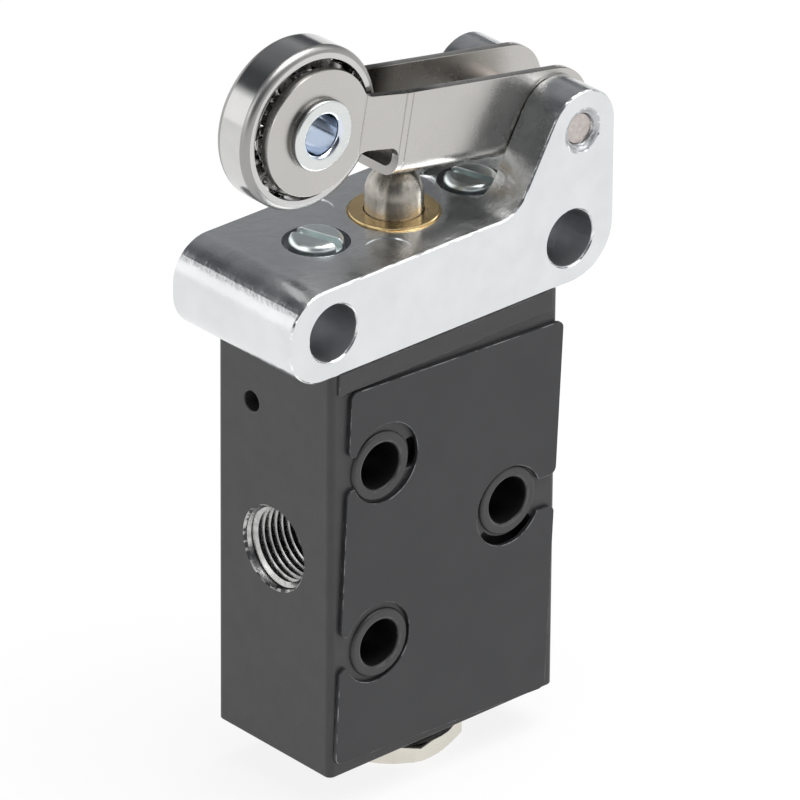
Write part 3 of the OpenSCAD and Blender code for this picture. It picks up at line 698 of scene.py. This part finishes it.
def place(mesh: Mesh, name: str, body: Body, finish: Finish, *replaces: str) -> bpy.types.Object:
    """Brings a mesh to metres and makes it a piece that rides on a body.

    Args:
        mesh: The mesh, in millimetres; it is freed.
        name: The piece's name.
        body: The body it rides on.
        finish: Its finish.
        *replaces: CAD nodes that it stands for.

    Returns:
        The piece.
    """
    bmesh.ops.scale(mesh, vec=(MM,) * 3, verts=mesh.verts)
    for face in mesh.faces:
        face.smooth = True
    for edge in mesh.edges:
        edge.smooth = not edge.is_manifold or edge.calc_face_angle() < math.radians(SHARP)
    data = bpy.data.meshes.new(name)
    mesh.to_mesh(data)
    mesh.free()
    data.materials.append(finish.material())
    piece = bpy.data.objects.new(name, data)
    bpy.context.scene.collection.objects.link(piece)
    shading = piece.modifiers.new("even_shading", "WEIGHTED_NORMAL")
    shading.keep_sharp = True
    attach(piece, body.value)
    if replaces:
        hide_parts(*replaces)
    LOG.info("placed %s on %s with %d faces", name, body.value, len(data.polygons))
    return piece


def refine(node: str, name: str, body: Body, finish: Finish, width: float) -> None:
    """Puts a copy with rounded edges in the place of a CAD node.

    Args:
        node: The CAD node's name.
        name: The piece's name.
        body: The body it rides on.
        finish: Its finish.
        width: Width of the rounding.
    """
    mesh = carried(node)
    round_edges(mesh, width, 2)
    place(mesh, name, body, finish, node)


def dress_node(node: str, finish: Finish) -> None:
    """Gives a CAD node that stays a better material."""
    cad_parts[node].material_slots[0].material = finish.material()
    LOG.info("dressed %s", node)


@dataclass
class ValveBody:
    """The black block with its ports, and the plate on its front."""

    edge: float = 0.18  # Width of the worn edges.
    plate_edge: float = 0.07  # Width of the plate's edges.
    axis_room: float = 6.5  # Distance from the spool axis within which edges stay sharp.
    port_radius: float = 4.864  # Radius of a port's wall.
    port_room: float = 0.4  # Distance round a port's wall within which edges stay sharp.
    port_end: float = 7.0  # Distance of a port's inner end from the spool axis.
    chamfer_end: float = 15.5  # Distance of the inner end of a port's chamfer from the spool axis.
    crest_radius: float = 4.31  # Radius of the thread's crests.
    pitch: float = 0.907
    root_share: float = 0.49  # Half the width of the ridge's root, in pitches.
    crest_share: float = 0.07  # Half the width of its crest, in pitches.
    sunk: float = 0.06  # How far its root sits in the wall.
    thread_start: float = 0.46  # Depth where the thread starts.
    run_in: float = 1.1  # Length over which the ridge grows to its height.
    turns: float = 7.6
    # Each port's name, mouth and direction inwards along X.
    mouths: tuple[tuple[str, Triple, int], ...] = (
        ("outlet", (-17.4, 0.0, 30.1), 1),
        ("supply", (16.0, 0.0, 19.1), -1),
        ("exhaust", (16.0, 0.0, 41.1), -1),
    )
    # Places of the mounting holes in X and Z.
    holes: tuple[Pair, ...] = ((-10.4, 19.8), (-10.4, 41.8), (8.5, 30.9))
    hole_radius: float = 2.75

    def build(self) -> None:
        """Makes the block, the plate and the threads."""
        block = carried("body")
        # Mounting-hole walls get painted shade from the coat's bore colour.
        mark_faces(block, Mark.TINTED, self.is_bore)
        mark_faces(block, Mark.BARE, self.is_mouth)
        round_edges(block, self.edge, chosen=self.is_outer)
        place(block, "body_block", Body.VALVE, COAT, "body")
        refine("label_plate", "label_sheet", Body.VALVE, LABEL, self.plate_edge)
        for name, mouth, inwards in self.mouths:
            place(self.thread(mouth, inwards), f"{name}_thread", Body.VALVE, THREAD)

    def is_outer(self, middle: Vector) -> bool:
        """Keeps the edges of the inner bores and of the port mouths sharp."""
        return math.hypot(middle.x, middle.y) > self.axis_room and not self.near_port(middle)

    def near_port(self, point: Vector) -> bool:
        """Says whether a point is in or round a port.

        Args:
            point: The point.

        Returns:
            True in or round a port.
        """
        reach = self.port_radius + self.port_room
        return abs(point.x) > self.port_end and any(
            point.x * mouth[0] > 0 and math.hypot(point.y, point.z - mouth[2]) < reach
            for _, mouth, _ in self.mouths
        )

    def is_mouth(self, face: Face) -> bool:
        """Says whether a face is the chamfer of a port."""
        outer = all(self.near_port(v.co) and abs(v.co.x) > self.chamfer_end for v in face.verts)
        return outer and abs(face.normal.x) < 0.95

    def is_bore(self, face: Face) -> bool:
        """Says whether a face is the wall of a mounting hole."""
        gaps = [min(math.hypot(p.x - x, p.z - z) for x, z in self.holes) for p in face_points(face)]
        return max(gaps) < self.hole_radius + 0.05

    def thread(self, mouth: Triple, inwards: int) -> Mesh:
        """Winds the ridge of one port's thread.

        Args:
            mouth: Middle of the port's mouth.
            inwards: 1 where the port runs along +X, -1 along -X.

        Returns:
            The ridge.
        """
        half, flat = self.pitch * self.root_share, self.pitch * self.crest_share
        root = self.port_radius + self.sunk
        section = [(root, -half), (self.crest_radius, -flat), (self.crest_radius, flat), (root, half)]
        ridge = helix(section, [(self.turns, self.turns * self.pitch)], 64)
        for vert in ridge.verts:
            grown = min(max((vert.co.z + half / 2) / self.run_in, 0.0), 1.0)
            radius = vert.co.xy.length
            vert.co.xy *= 1 + (root - radius) * (1 - grown) / radius
        start = Vector(mouth) + Vector((inwards * self.thread_start, 0, 0))
        return laid(ridge, start, (90 * inwards, "Y"))


@dataclass
class FootCap:
    """The hexagonal cap, its washer and the spring inside it."""

    edge: float = 0.22  # Width of the cap's rounded edges.
    edge_top: float = 2.7  # Height up to which the cap's edges are rounded.
    wire: float = 0.7  # Diameter of the spring's wire.
    coil_radius: float = 2.85  # Radius of the coil at the wire's middle.
    foot: float = 2.5  # Height of the spring's foot.
    length: float = 7.6
    turns: float = 5  # Turns of the spring.
    flat: float = 0.4  # Turns that lie flat at each end.
    pressed: float = 0.658  # Share of the spring's length left at full travel.
    washer_span: Pair = (2.6, 4.9)  # Foot and top of the washer.
    washer_radius: float = 7.5  # Outer radius of the washer.
    washer_bore: float = 6.0  # Inner radius of the washer.
    washer_rim: float = 0.3  # Width of the washer's slanted rim.
    washer_ridges: int = 3  # Ridges on the washer's side.
    washer_dent: float = 0.16  # Depth between the ridges.

    def build(self) -> None:
        """Makes the cap, the washer and the spring."""
        cap = carried("end_cap")
        round_edges(cap, self.edge, chosen=lambda middle: middle.z < self.edge_top)
        place(cap, "hex_cap", Body.VALVE, NICKEL, "end_cap")
        place(self.washer(), "sealing_washer", Body.VALVE, RUBBER, "cap_washer")
        coil = place(self.coil(), "coil_spring", Body.VALVE, SPRING, "return_spring")
        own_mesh(coil)

    def washer(self) -> Mesh:
        """Makes the washer, squeezed into uneven ridges.

        Returns:
            The washer.
        """
        low, high = self.washer_span
        half, steps = (high - low) / 2, 36
        bore, radius = self.washer_bore, self.washer_radius
        rim, wave = radius - self.washer_rim, math.tau * self.washer_ridges / steps
        side = [
            (radius - self.washer_dent * math.cos(wave * k) ** 2, half - 2 * half * k / steps)
            for k in range(1, steps)
        ]
        ring = spun([(bore, half), (rim, half), *side, (rim, -half), (bore, -half)], 120)
        for vert in ring.verts:
            if vert.co.xy.length > bore + 0.1 and abs(vert.co.z) < half - 0.05:
                vert.co.xy *= 1 - 0.02 * max(0.0, noise.noise(vert.co * 1.1) + 0.2)
        bmesh.ops.translate(ring, vec=(0, 0, (low + high) / 2), verts=ring.verts)
        return ring

    def coil(self) -> Mesh:
        """Winds the spring.

        Returns:
            The spring.
        """
        radius = self.wire / 2
        section = arc((self.coil_radius, self.foot + radius), radius, 0, 360, 12)[:-1]
        climb = self.length - self.wire
        return helix(section, [(self.flat, 0), (self.turns - 2 * self.flat, climb), (self.flat, 0)], 40)


@dataclass
class SpoolStack:
    """The spool with its seals, spacers and guide, all inside the body."""

    seals: int = 4

    def build(self) -> None:
        """Dresses the stack's CAD nodes."""
        dress_node("spool", SPOOL)
        dress_node("top_guide", BRASS)
        for index in range(1, self.seals + 1):
            dress_node(f"spool_seal_{index}", RUBBER)
        for index in range(1, self.seals):
            dress_node(f"spacer_cage_{index}", BRASS)


@dataclass
class Head:
    """The cast head with its screws, bush and staked pin."""

    edge: float = 0.19  # Width of the casting's worn edges.
    nick_step: float = 0.42  # Distance between the nicks on its edges.
    nick: float = 0.13
    half: float = 9.75  # Half the head's thickness.
    cross_x: float = 17.3  # Distance of a cross hole from the spool axis.
    cross_z: float = 60.45
    cross_radius: float = 3.35
    bush_room: Pair = (5.5, 65.6)  # Radius and top of the bush's seat, whose edges stay sharp.
    screw_x: float = 11.3  # Distance of a screw from the spool axis.
    screw_room: float = 3.8  # Radius of a screw's counterbore.
    ejector: Pair = (-6.5, 6.4)  # Place of an ejector mark in X and Y.
    ejector_radius: float = 2.6
    screw_edge: float = 0.1
    bush_edge: float = 0.14
    pin_edge: float = 0.12
    dish_radius: float = 2.5  # Radius of the staked dish round a pin end.
    stake_radius: float = 2.05
    stake_thick: float = 0.16  # Half the thickness of the burr.
    stake_depth: float = 0.5  # Depth of the burr below the face.
    stake_lumps: float = 0.16  # How far the burr's lumps reach.
    stake_side: float = 5.6  # Angle of the burr's roughest side.

    def build(self) -> None:
        """Makes the casting and what is fixed in it."""
        casting = carried("head")
        # Bores, counterbores and staked dishes get painted shade and a duller gloss.
        mark_faces(casting, Mark.TINTED, self.is_bore)
        round_edges(casting, self.edge, chosen=self.is_worn)
        nick_edges(casting, self.nick_step, self.nick)
        place(casting, "head_casting", Body.VALVE, ZINC, "head")
        refine("head_screws", "slotted_screws", Body.VALVE, SCREW, self.screw_edge)
        refine("guide_bush", "flanged_bush", Body.VALVE, BRASS, self.bush_edge)
        refine("pivot_pin", "hinge_pin", Body.VALVE, PIN, self.pin_edge)
        for name, side in (("front", -1), ("back", 1)):
            place(self.stake(side), f"stake_{name}", Body.VALVE, ZINC)

    def is_bore(self, face: Face) -> bool:
        """Says whether a face is the wall of a hole, of a counterbore or of a staked dish.

        Args:
            face: A face of the casting.

        Returns:
            True for such a wall.
        """
        slack = 0.02
        return all(
            math.hypot(abs(p.x) - self.cross_x, p.z - self.cross_z) < self.cross_radius + slack
            or math.hypot(abs(p.x) - self.screw_x, p.y) < self.screw_room + slack
            or math.hypot(p.x - PIVOT[0], p.z - PIVOT[2]) < self.dish_radius + slack
            for p in face_points(face)
        )

    def is_worn(self, middle: Vector) -> bool:
        """Leaves the bores, the counterbores and the ejector marks sharp.

        Args:
            middle: An edge's middle.

        Returns:
            True where the edge is rounded and worn.
        """
        slack = 0.1
        x, y, z = middle
        mark_x, mark_y = self.ejector
        inner = math.hypot(x, y) < self.bush_room[0] and z < self.bush_room[1]
        sunk = math.hypot(abs(x) - self.screw_x, y) < self.screw_room + slack
        mark = math.hypot(x - mark_x, abs(y) - mark_y) < self.ejector_radius + slack
        return not (inner or sunk or mark)

    def stake(self, side: int) -> Mesh:
        """Makes the rough burr that holds one end of the pin.

        Args:
            side: -1 for the front ear, 1 for the back one.

        Returns:
            The burr.
        """
        ring = spun(arc((self.stake_radius, 0), self.stake_thick, 0, 360)[:-1], 72)
        for vert in ring.verts:
            lump = noise.noise(vert.co * 2.3 + Vector((side * 7.0, 3.0, 1.0)))
            weight = 0.55 + 0.45 * math.cos(math.atan2(vert.co.y, vert.co.x) - self.stake_side)
            vert.co.z += self.stake_lumps * weight * lump
            vert.co.xy *= 1 + 0.07 * weight * noise.noise(vert.co * 4.1)
        # The whole burr gets the painted shade of the bores.
        mark_faces(ring, Mark.TINTED, lambda face: True)
        at = (PIVOT[0], side * (self.half - self.stake_depth), PIVOT[2])
        return laid(ring, at, (-90 * side, "X"))


@dataclass
class PlungerSet:
    """The domed plunger."""

    edge: float = 0.1  # Width of its rounded edges.

    def build(self) -> None:
        """Makes the plunger."""
        refine("plunger", "domed_plunger", Body.PLUNGER, PLUNGER, self.edge)


@dataclass
class Lever:
    """The pressed lever and the rivet through its eyes."""

    edge: float = 0.12  # Width of the sheet's broken edges.
    least: float = 70  # Smallest angle of an edge that is broken, in degrees.
    channel_half: float = 4.6  # Half the width inside the channel.
    bore_radius: float = 2.3  # Radius of the rivet's hole.
    bore_reach: float = 0.35  # Width of the tinted rim round the hole.
    lip: float = 0.7  # Radius of the hole's lip.
    flange_radius: float = 4.1
    flange_edge: float = 0.35  # Radius of a flange's edges.
    flange_span: Pair = (3.7, 4.6)  # Inner and outer face of a flange.
    shank_radius: float = 3.0  # Radius of the rivet in the eyes.
    sleeve_radius: float = 5.0  # Radius of the rivet in the bearing.
    sleeve_end: float = 2.6  # End of that sleeve.

    def build(self) -> None:
        """Makes the lever and the rivet."""
        sheet = carried("lever")
        # Marks the channel's inner faces for painted shade.
        mark_faces(sheet, Mark.TINTED, self.is_inner)
        round_edges(sheet, self.edge, 2, self.least)
        place(sheet, "pressed_lever", Body.LEVER, SHEET, "lever")
        place(self.rivet(), "hollow_rivet", Body.LEVER, RIVET, "roller_rivet")

    def is_inner(self, face: Face) -> bool:
        """Says whether a face looks into the channel."""
        middle = face.calc_center_median()
        return middle.y * face.normal.y < -0.3 or (face.normal.z > 0.6 and abs(middle.y) < self.channel_half)

    def is_hole(self, face: Face) -> bool:
        """Says whether a face of the rivet, turned about Z, is in its hole."""
        return min(v.co.xy.length for v in face.verts) < self.bore_radius + self.bore_reach

    def rivet(self) -> Mesh:
        """Turns the hollow rivet, with a tinted hole and painted shade on its sides.

        Returns:
            The rivet.
        """
        inner, outer = self.flange_span
        edge, end = self.flange_edge, self.sleeve_end
        rim = self.flange_radius - edge
        mesh = spun(mirrored([
            *arc((self.bore_radius + self.lip, outer - self.lip), self.lip, 180, 90),
            *arc((rim, outer - edge), edge, 90, 0),
            *arc((rim, inner + edge), edge, 0, -90),
            (self.shank_radius, inner), (self.shank_radius, end), (self.sleeve_radius, end),
        ]), 112)
        mark_faces(mesh, Mark.TINTED, self.is_hole)
        # Flange sides marked for painted shade.
        mark_faces(mesh, Mark.WEAR_AND_LIGHT, lambda face: abs(face.normal.z) < 0.6 and not self.is_hole(face))
        return on_roller(mesh)


@dataclass
class RollerBearing:
    """The ball bearing that is the roller."""

    balls: int = 9
    circle_radius: float = 7.175  # Radius of the ball circle.
    pocket_radius: float = 1.295  # Radius of a ribbon's bulge round a ball.
    track_radius: float = 1.265  # Radius of the ball track's section.
    ribbon_inner: float = 6.7  # Inner radius of the cage's ribbons.
    ribbon_outer: float = 7.65  # Outer radius of the cage's ribbons.
    ribbon_thick: float = 0.22
    ribbon_gap: float = 0.03  # Half the gap between the ribbons where they are riveted.
    stud: float = 0.42  # Radius of a cage rivet's head.
    half_width: float = 2.5  # Half the bearing's width.
    outer_radius: float = 9.5
    outer_land: float = 8.15  # Inner radius of the outer ring.
    inner_land: float = 6.2  # Outer radius of the inner ring.
    bore_radius: float = 5.0  # Radius of the bearing's bore.
    outer_edge: float = 0.9  # Edge radius of the outer ring.
    bore_edge: float = 0.3  # Edge radius at the bore.

    def build(self) -> None:
        """Turns the rings, dresses the balls and makes the cage."""
        place(self.outer_ring(), "outer_ring", Body.ROLLER, RING, "bearing_outer_ring")
        place(self.inner_ring(), "inner_ring", Body.LEVER, RING, "bearing_inner_ring")
        dress_node("bearing_balls", BALL)
        place(self.ribbons(), "ribbon_cage", Body.BALL_SET, RIBBON, "bearing_cage")

    def track_end(self, land: float) -> float:
        """Gives the angle in degrees at which the ball track meets a land."""
        return math.degrees(math.acos((land - self.circle_radius) / self.track_radius))

    def outer_ring(self) -> Mesh:
        """Turns the outer ring, with its rounded edges marked.

        Returns:
            The ring.
        """
        half = self.half_width - self.outer_edge
        mesh = spun(mirrored([
            *arc((self.circle_radius, 0), self.track_radius, 0.5, self.track_end(self.outer_land)),
            (self.outer_land, self.half_width),
            *arc((self.outer_radius - self.outer_edge, half), self.outer_edge, 90, 0),
        ]), 160)
        mark_faces(mesh, Mark.TINTED, lambda face: (
            abs(face.calc_center_median().z) > half and 0.05 < abs(face.normal.z) < 0.995
        ))
        return on_roller(mesh)

    def inner_ring(self) -> Mesh:
        """Turns the inner ring.

        Returns:
            The ring.
        """
        edge = (self.bore_radius + self.bore_edge, self.half_width - self.bore_edge)
        return on_roller(spun(mirrored([
            *arc(edge, self.bore_edge, 180, 90, 5),
            (self.inner_land, self.half_width),
            *arc((self.circle_radius, 0), self.track_radius, self.track_end(self.inner_land), 179.5),
        ]), 120))

    def bulge(self, angle: float) -> float:
        """Gives the height of a ribbon's inner face over the middle plane.

        Args:
            angle: Angle round the bearing, with a ball at 0.

        Returns:
            The height.
        """
        step = math.tau / self.balls
        along = abs((angle + step / 2) % step - step / 2) * self.circle_radius
        return max(self.ribbon_gap, math.sqrt(max(0.0, self.pocket_radius ** 2 - along ** 2)))

    def ribbons(self) -> Mesh:
        """Makes both ribbons of the cage and the rivets between the balls.

        Returns:
            The cage.
        """
        low, high = self.ribbon_gap, self.ribbon_gap + self.ribbon_thick
        inner, outer = self.ribbon_inner, self.ribbon_outer
        mesh = spun([(inner, low), (outer, low), (outer, high), (inner, high)], 28 * self.balls)
        for vert in mesh.verts:
            vert.co.z += self.bulge(math.atan2(vert.co.y, vert.co.x)) - low
        for index in range(self.balls):
            angle = math.tau * (index + 0.5) / self.balls
            at = Vector((self.circle_radius * math.cos(angle), self.circle_radius * math.sin(angle), high))
            bmesh.ops.create_uvsphere(
                mesh, u_segments=16, v_segments=8, radius=self.stud,
                matrix=Matrix.Translation(at) @ Matrix.Diagonal((1, 1, 0.5, 1)),
            )
        other = bmesh.ops.duplicate(mesh, geom=mesh.verts[:] + mesh.edges[:] + mesh.faces[:])["geom"]
        flipped = [item for item in other if isinstance(item, bmesh.types.BMVert)]
        bmesh.ops.scale(mesh, vec=(1, 1, -1), verts=flipped)
        bmesh.ops.recalc_face_normals(mesh, faces=mesh.faces)
        return on_roller(mesh, 180 + LEVER_TILT)


@dataclass
class Lamp:
    """A soft square lamp."""

    name: str
    at: Triple  # Its place in metres.
    aim: Triple  # The point it faces, in metres.
    size: float  # Its side in metres.
    power: float  # Its power in watts.

    def build(self) -> None:
        """Makes the lamp."""
        data = bpy.data.lights.new(self.name, "AREA")
        data.size = self.size
        data.energy = self.power
        lamp = bpy.data.objects.new(self.name, data)
        lamp.location = self.at
        lamp.rotation_euler = (Vector(self.aim) - Vector(self.at)).to_track_quat("-Z", "Y").to_euler()
        bpy.context.scene.collection.objects.link(lamp)


@dataclass
class Studio:
    """Floor, lamps, surroundings and camera."""

    floor_radius: float = 12.0  # Radius of the floor in metres.
    floor_colour: Colour = (0.9, 0.9, 0.9)
    floor_glow: float = 0.86  # How much of the floor is plain white to the camera and in reflections.
    # Sine of the height above the horizon, and the colour there, behind the valve.
    sky_far: Sky = (
        (0.0, (0.95, 0.95, 0.95)), (0.075, (0.95, 0.95, 0.95)), (0.115, (0.07, 0.075, 0.085)),
        (0.3, (0.10, 0.105, 0.115)), (0.465, (0.345, 0.35, 0.355)), (0.62, (0.225, 0.23, 0.24)),
        (0.8, (0.15, 0.155, 0.16)), (1.0, (0.45, 0.45, 0.45)),
    )
    # The same on the camera's side.
    sky_near: Sky = (
        (0.0, (0.95, 0.95, 0.95)), (0.09, (0.95, 0.95, 0.95)), (0.125, (0.055, 0.06, 0.068)),
        (0.6, (0.075, 0.08, 0.088)), (0.8, (0.2, 0.2, 0.2)), (1.0, (0.45, 0.45, 0.45)),
    )
    # The same to the left of the picture.
    sky_left: Sky = (
        (0.0, (1.22, 1.22, 1.22)), (0.43, (1.22, 1.22, 1.22)), (0.55, (0.065, 0.07, 0.075)),
        (0.8, (0.07, 0.075, 0.08)), (1.0, (0.45, 0.45, 0.45)),
    )
    # The same to the right of the picture.
    sky_right: Sky = (
        (0.0, (0.95, 0.95, 0.95)), (0.1, (0.9, 0.9, 0.9)), (0.3, (0.4, 0.4, 0.4)),
        (0.75, (0.25, 0.25, 0.25)), (1.0, (0.45, 0.45, 0.45)),
    )
    lamps: tuple[Lamp, ...] = (
        Lamp("softbox_top", (0.25, -0.2, 1.3), (0, 0, 0.04), 1.1, 17),
        Lamp("softbox_right", (0.75, -0.6, 0.92), (0, 0, 0.06), 0.9, 3),
        Lamp("softbox_left", (-1.3, 0.1, 0.9), (0, 0, 0.05), 0.8, 3),
    )
    camera_at: Triple = (-0.689196, -0.768129, 0.585173)  # The camera's place in metres.
    azimuth: float = -41.945  # The camera's azimuth in degrees.
    elevation: float = 27.737  # Its height above the horizon in degrees.
    roll: float = 0.430  # Its roll in degrees.
    focal_pixels: float = 10582.83  # Focal length in pixels of the picture.
    picture: int = 800  # Width of the picture in pixels.
    sensor: float = 36.0  # Width of the sensor in millimetres.

    def build(self) -> None:
        """Makes the whole studio."""
        self.floor()
        self.surroundings()
        for lamp in self.lamps:
            lamp.build()
        self.camera()
        bpy.context.scene.view_settings.view_transform = "Standard"

    def floor(self) -> None:
        """Makes the pale floor, white to the camera and in reflections, with a soft shadow."""
        mesh = bmesh.new()
        bmesh.ops.create_circle(mesh, cap_ends=True, radius=self.floor_radius, segments=96)
        data = bpy.data.meshes.new("floor")
        mesh.to_mesh(data)
        mesh.free()
        floor = bpy.data.objects.new("floor", data)
        bpy.context.scene.collection.objects.link(floor)
        skin = Surface("pale_floor")
        skin.set("Base Color", (*self.floor_colour, 1))
        skin.set("Roughness", 0.9)
        skin.set("Specular IOR Level", 0.0)
        path = skin.node("ShaderNodeLightPath", 0, {}).node.outputs
        seen = skin.math("MAXIMUM", path["Is Camera Ray"], path["Is Glossy Ray"])
        seen = skin.math("MAXIMUM", seen, path["Is Transmission Ray"])
        share = skin.math("MULTIPLY", seen, self.floor_glow)
        glow = skin.node("ShaderNodeEmission", 0, {"Strength": 1})
        mix = skin.node("ShaderNodeMixShader", 0, {0: share, 1: skin.shader.outputs[0], 2: glow})
        skin.feed(skin.tree.nodes["Material Output"].inputs["Surface"], mix)
        data.materials.append(skin.material)

    def surroundings(self) -> None:
        """Makes surroundings that are pale at the horizon, dim above it and lighter overhead."""
        world = bpy.data.worlds.new("surroundings")
        bpy.context.scene.world = world
        graph = Graph(world)
        az = math.radians(self.azimuth)
        near, right = (math.sin(az), -math.cos(az), 0), (math.cos(az), math.sin(az), 0)
        colour = self.ramp(graph, self.sky_far)
        for sky, way, start, end in (
            (self.sky_near, near, -0.25, 0.25),
            (self.sky_left, right, -0.4, -0.62),
            (self.sky_right, right, 0.4, 0.62),
        ):
            along = graph.vector("DOT_PRODUCT", graph.coordinates["Generated"], way)
            colour = graph.blend(graph.spread(along, 0, 1, start, end), colour, self.ramp(graph, sky))
        graph.feed(graph.tree.nodes["Background"].inputs["Color"], colour)

    def ramp(self, graph: Graph, sky: Sky) -> Socket:
        """Turns the stops of one side into a colour by height.

        Args:
            graph: The world's node tree.
            sky: The stops.

        Returns:
            The colour.
        """
        height = graph.node("ShaderNodeSeparateXYZ", "Z", {0: graph.coordinates["Generated"]})
        made = graph.node("ShaderNodeValToRGB", 0, {0: height})
        stops = made.node.color_ramp.elements
        while len(stops) < len(sky):
            stops.new(0.5)
        for stop, (position, colour) in zip(stops, sky):
            stop.position = position
            stop.color = (*colour, 1)
        return made

    def camera(self) -> None:
        """Sets the camera where the photograph was taken from."""
        az, el, roll = (math.radians(a) for a in (self.azimuth, self.elevation, self.roll))
        back = Vector((math.sin(az) * math.cos(el), -math.cos(az) * math.cos(el), math.sin(el)))
        right = Vector((0, 0, 1)).cross(back).normalized()
        up = back.cross(right)
        rolled = math.cos(roll) * right + math.sin(roll) * up
        top = math.cos(roll) * up - math.sin(roll) * right
        data = bpy.data.cameras.new("camera")
        data.sensor_width = self.sensor
        data.lens = self.focal_pixels * self.sensor / self.picture
        camera = bpy.data.objects.new("camera", data)
        turn = Matrix((rolled, top, back)).transposed().to_4x4()
        camera.matrix_world = Matrix.Translation(self.camera_at) @ turn
        bpy.context.scene.collection.objects.link(camera)
        bpy.context.scene.camera = camera


def main() -> None:
    """Builds the valve's sub-assemblies and the studio around them."""
    logging.basicConfig(level=logging.INFO, format="%(name)s: %(message)s")
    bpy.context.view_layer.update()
    for part in (ValveBody, FootCap, SpoolStack, Head, PlungerSet, Lever, RollerBearing, Studio):
        part().build()


if __name__ == "__main__":
    main()
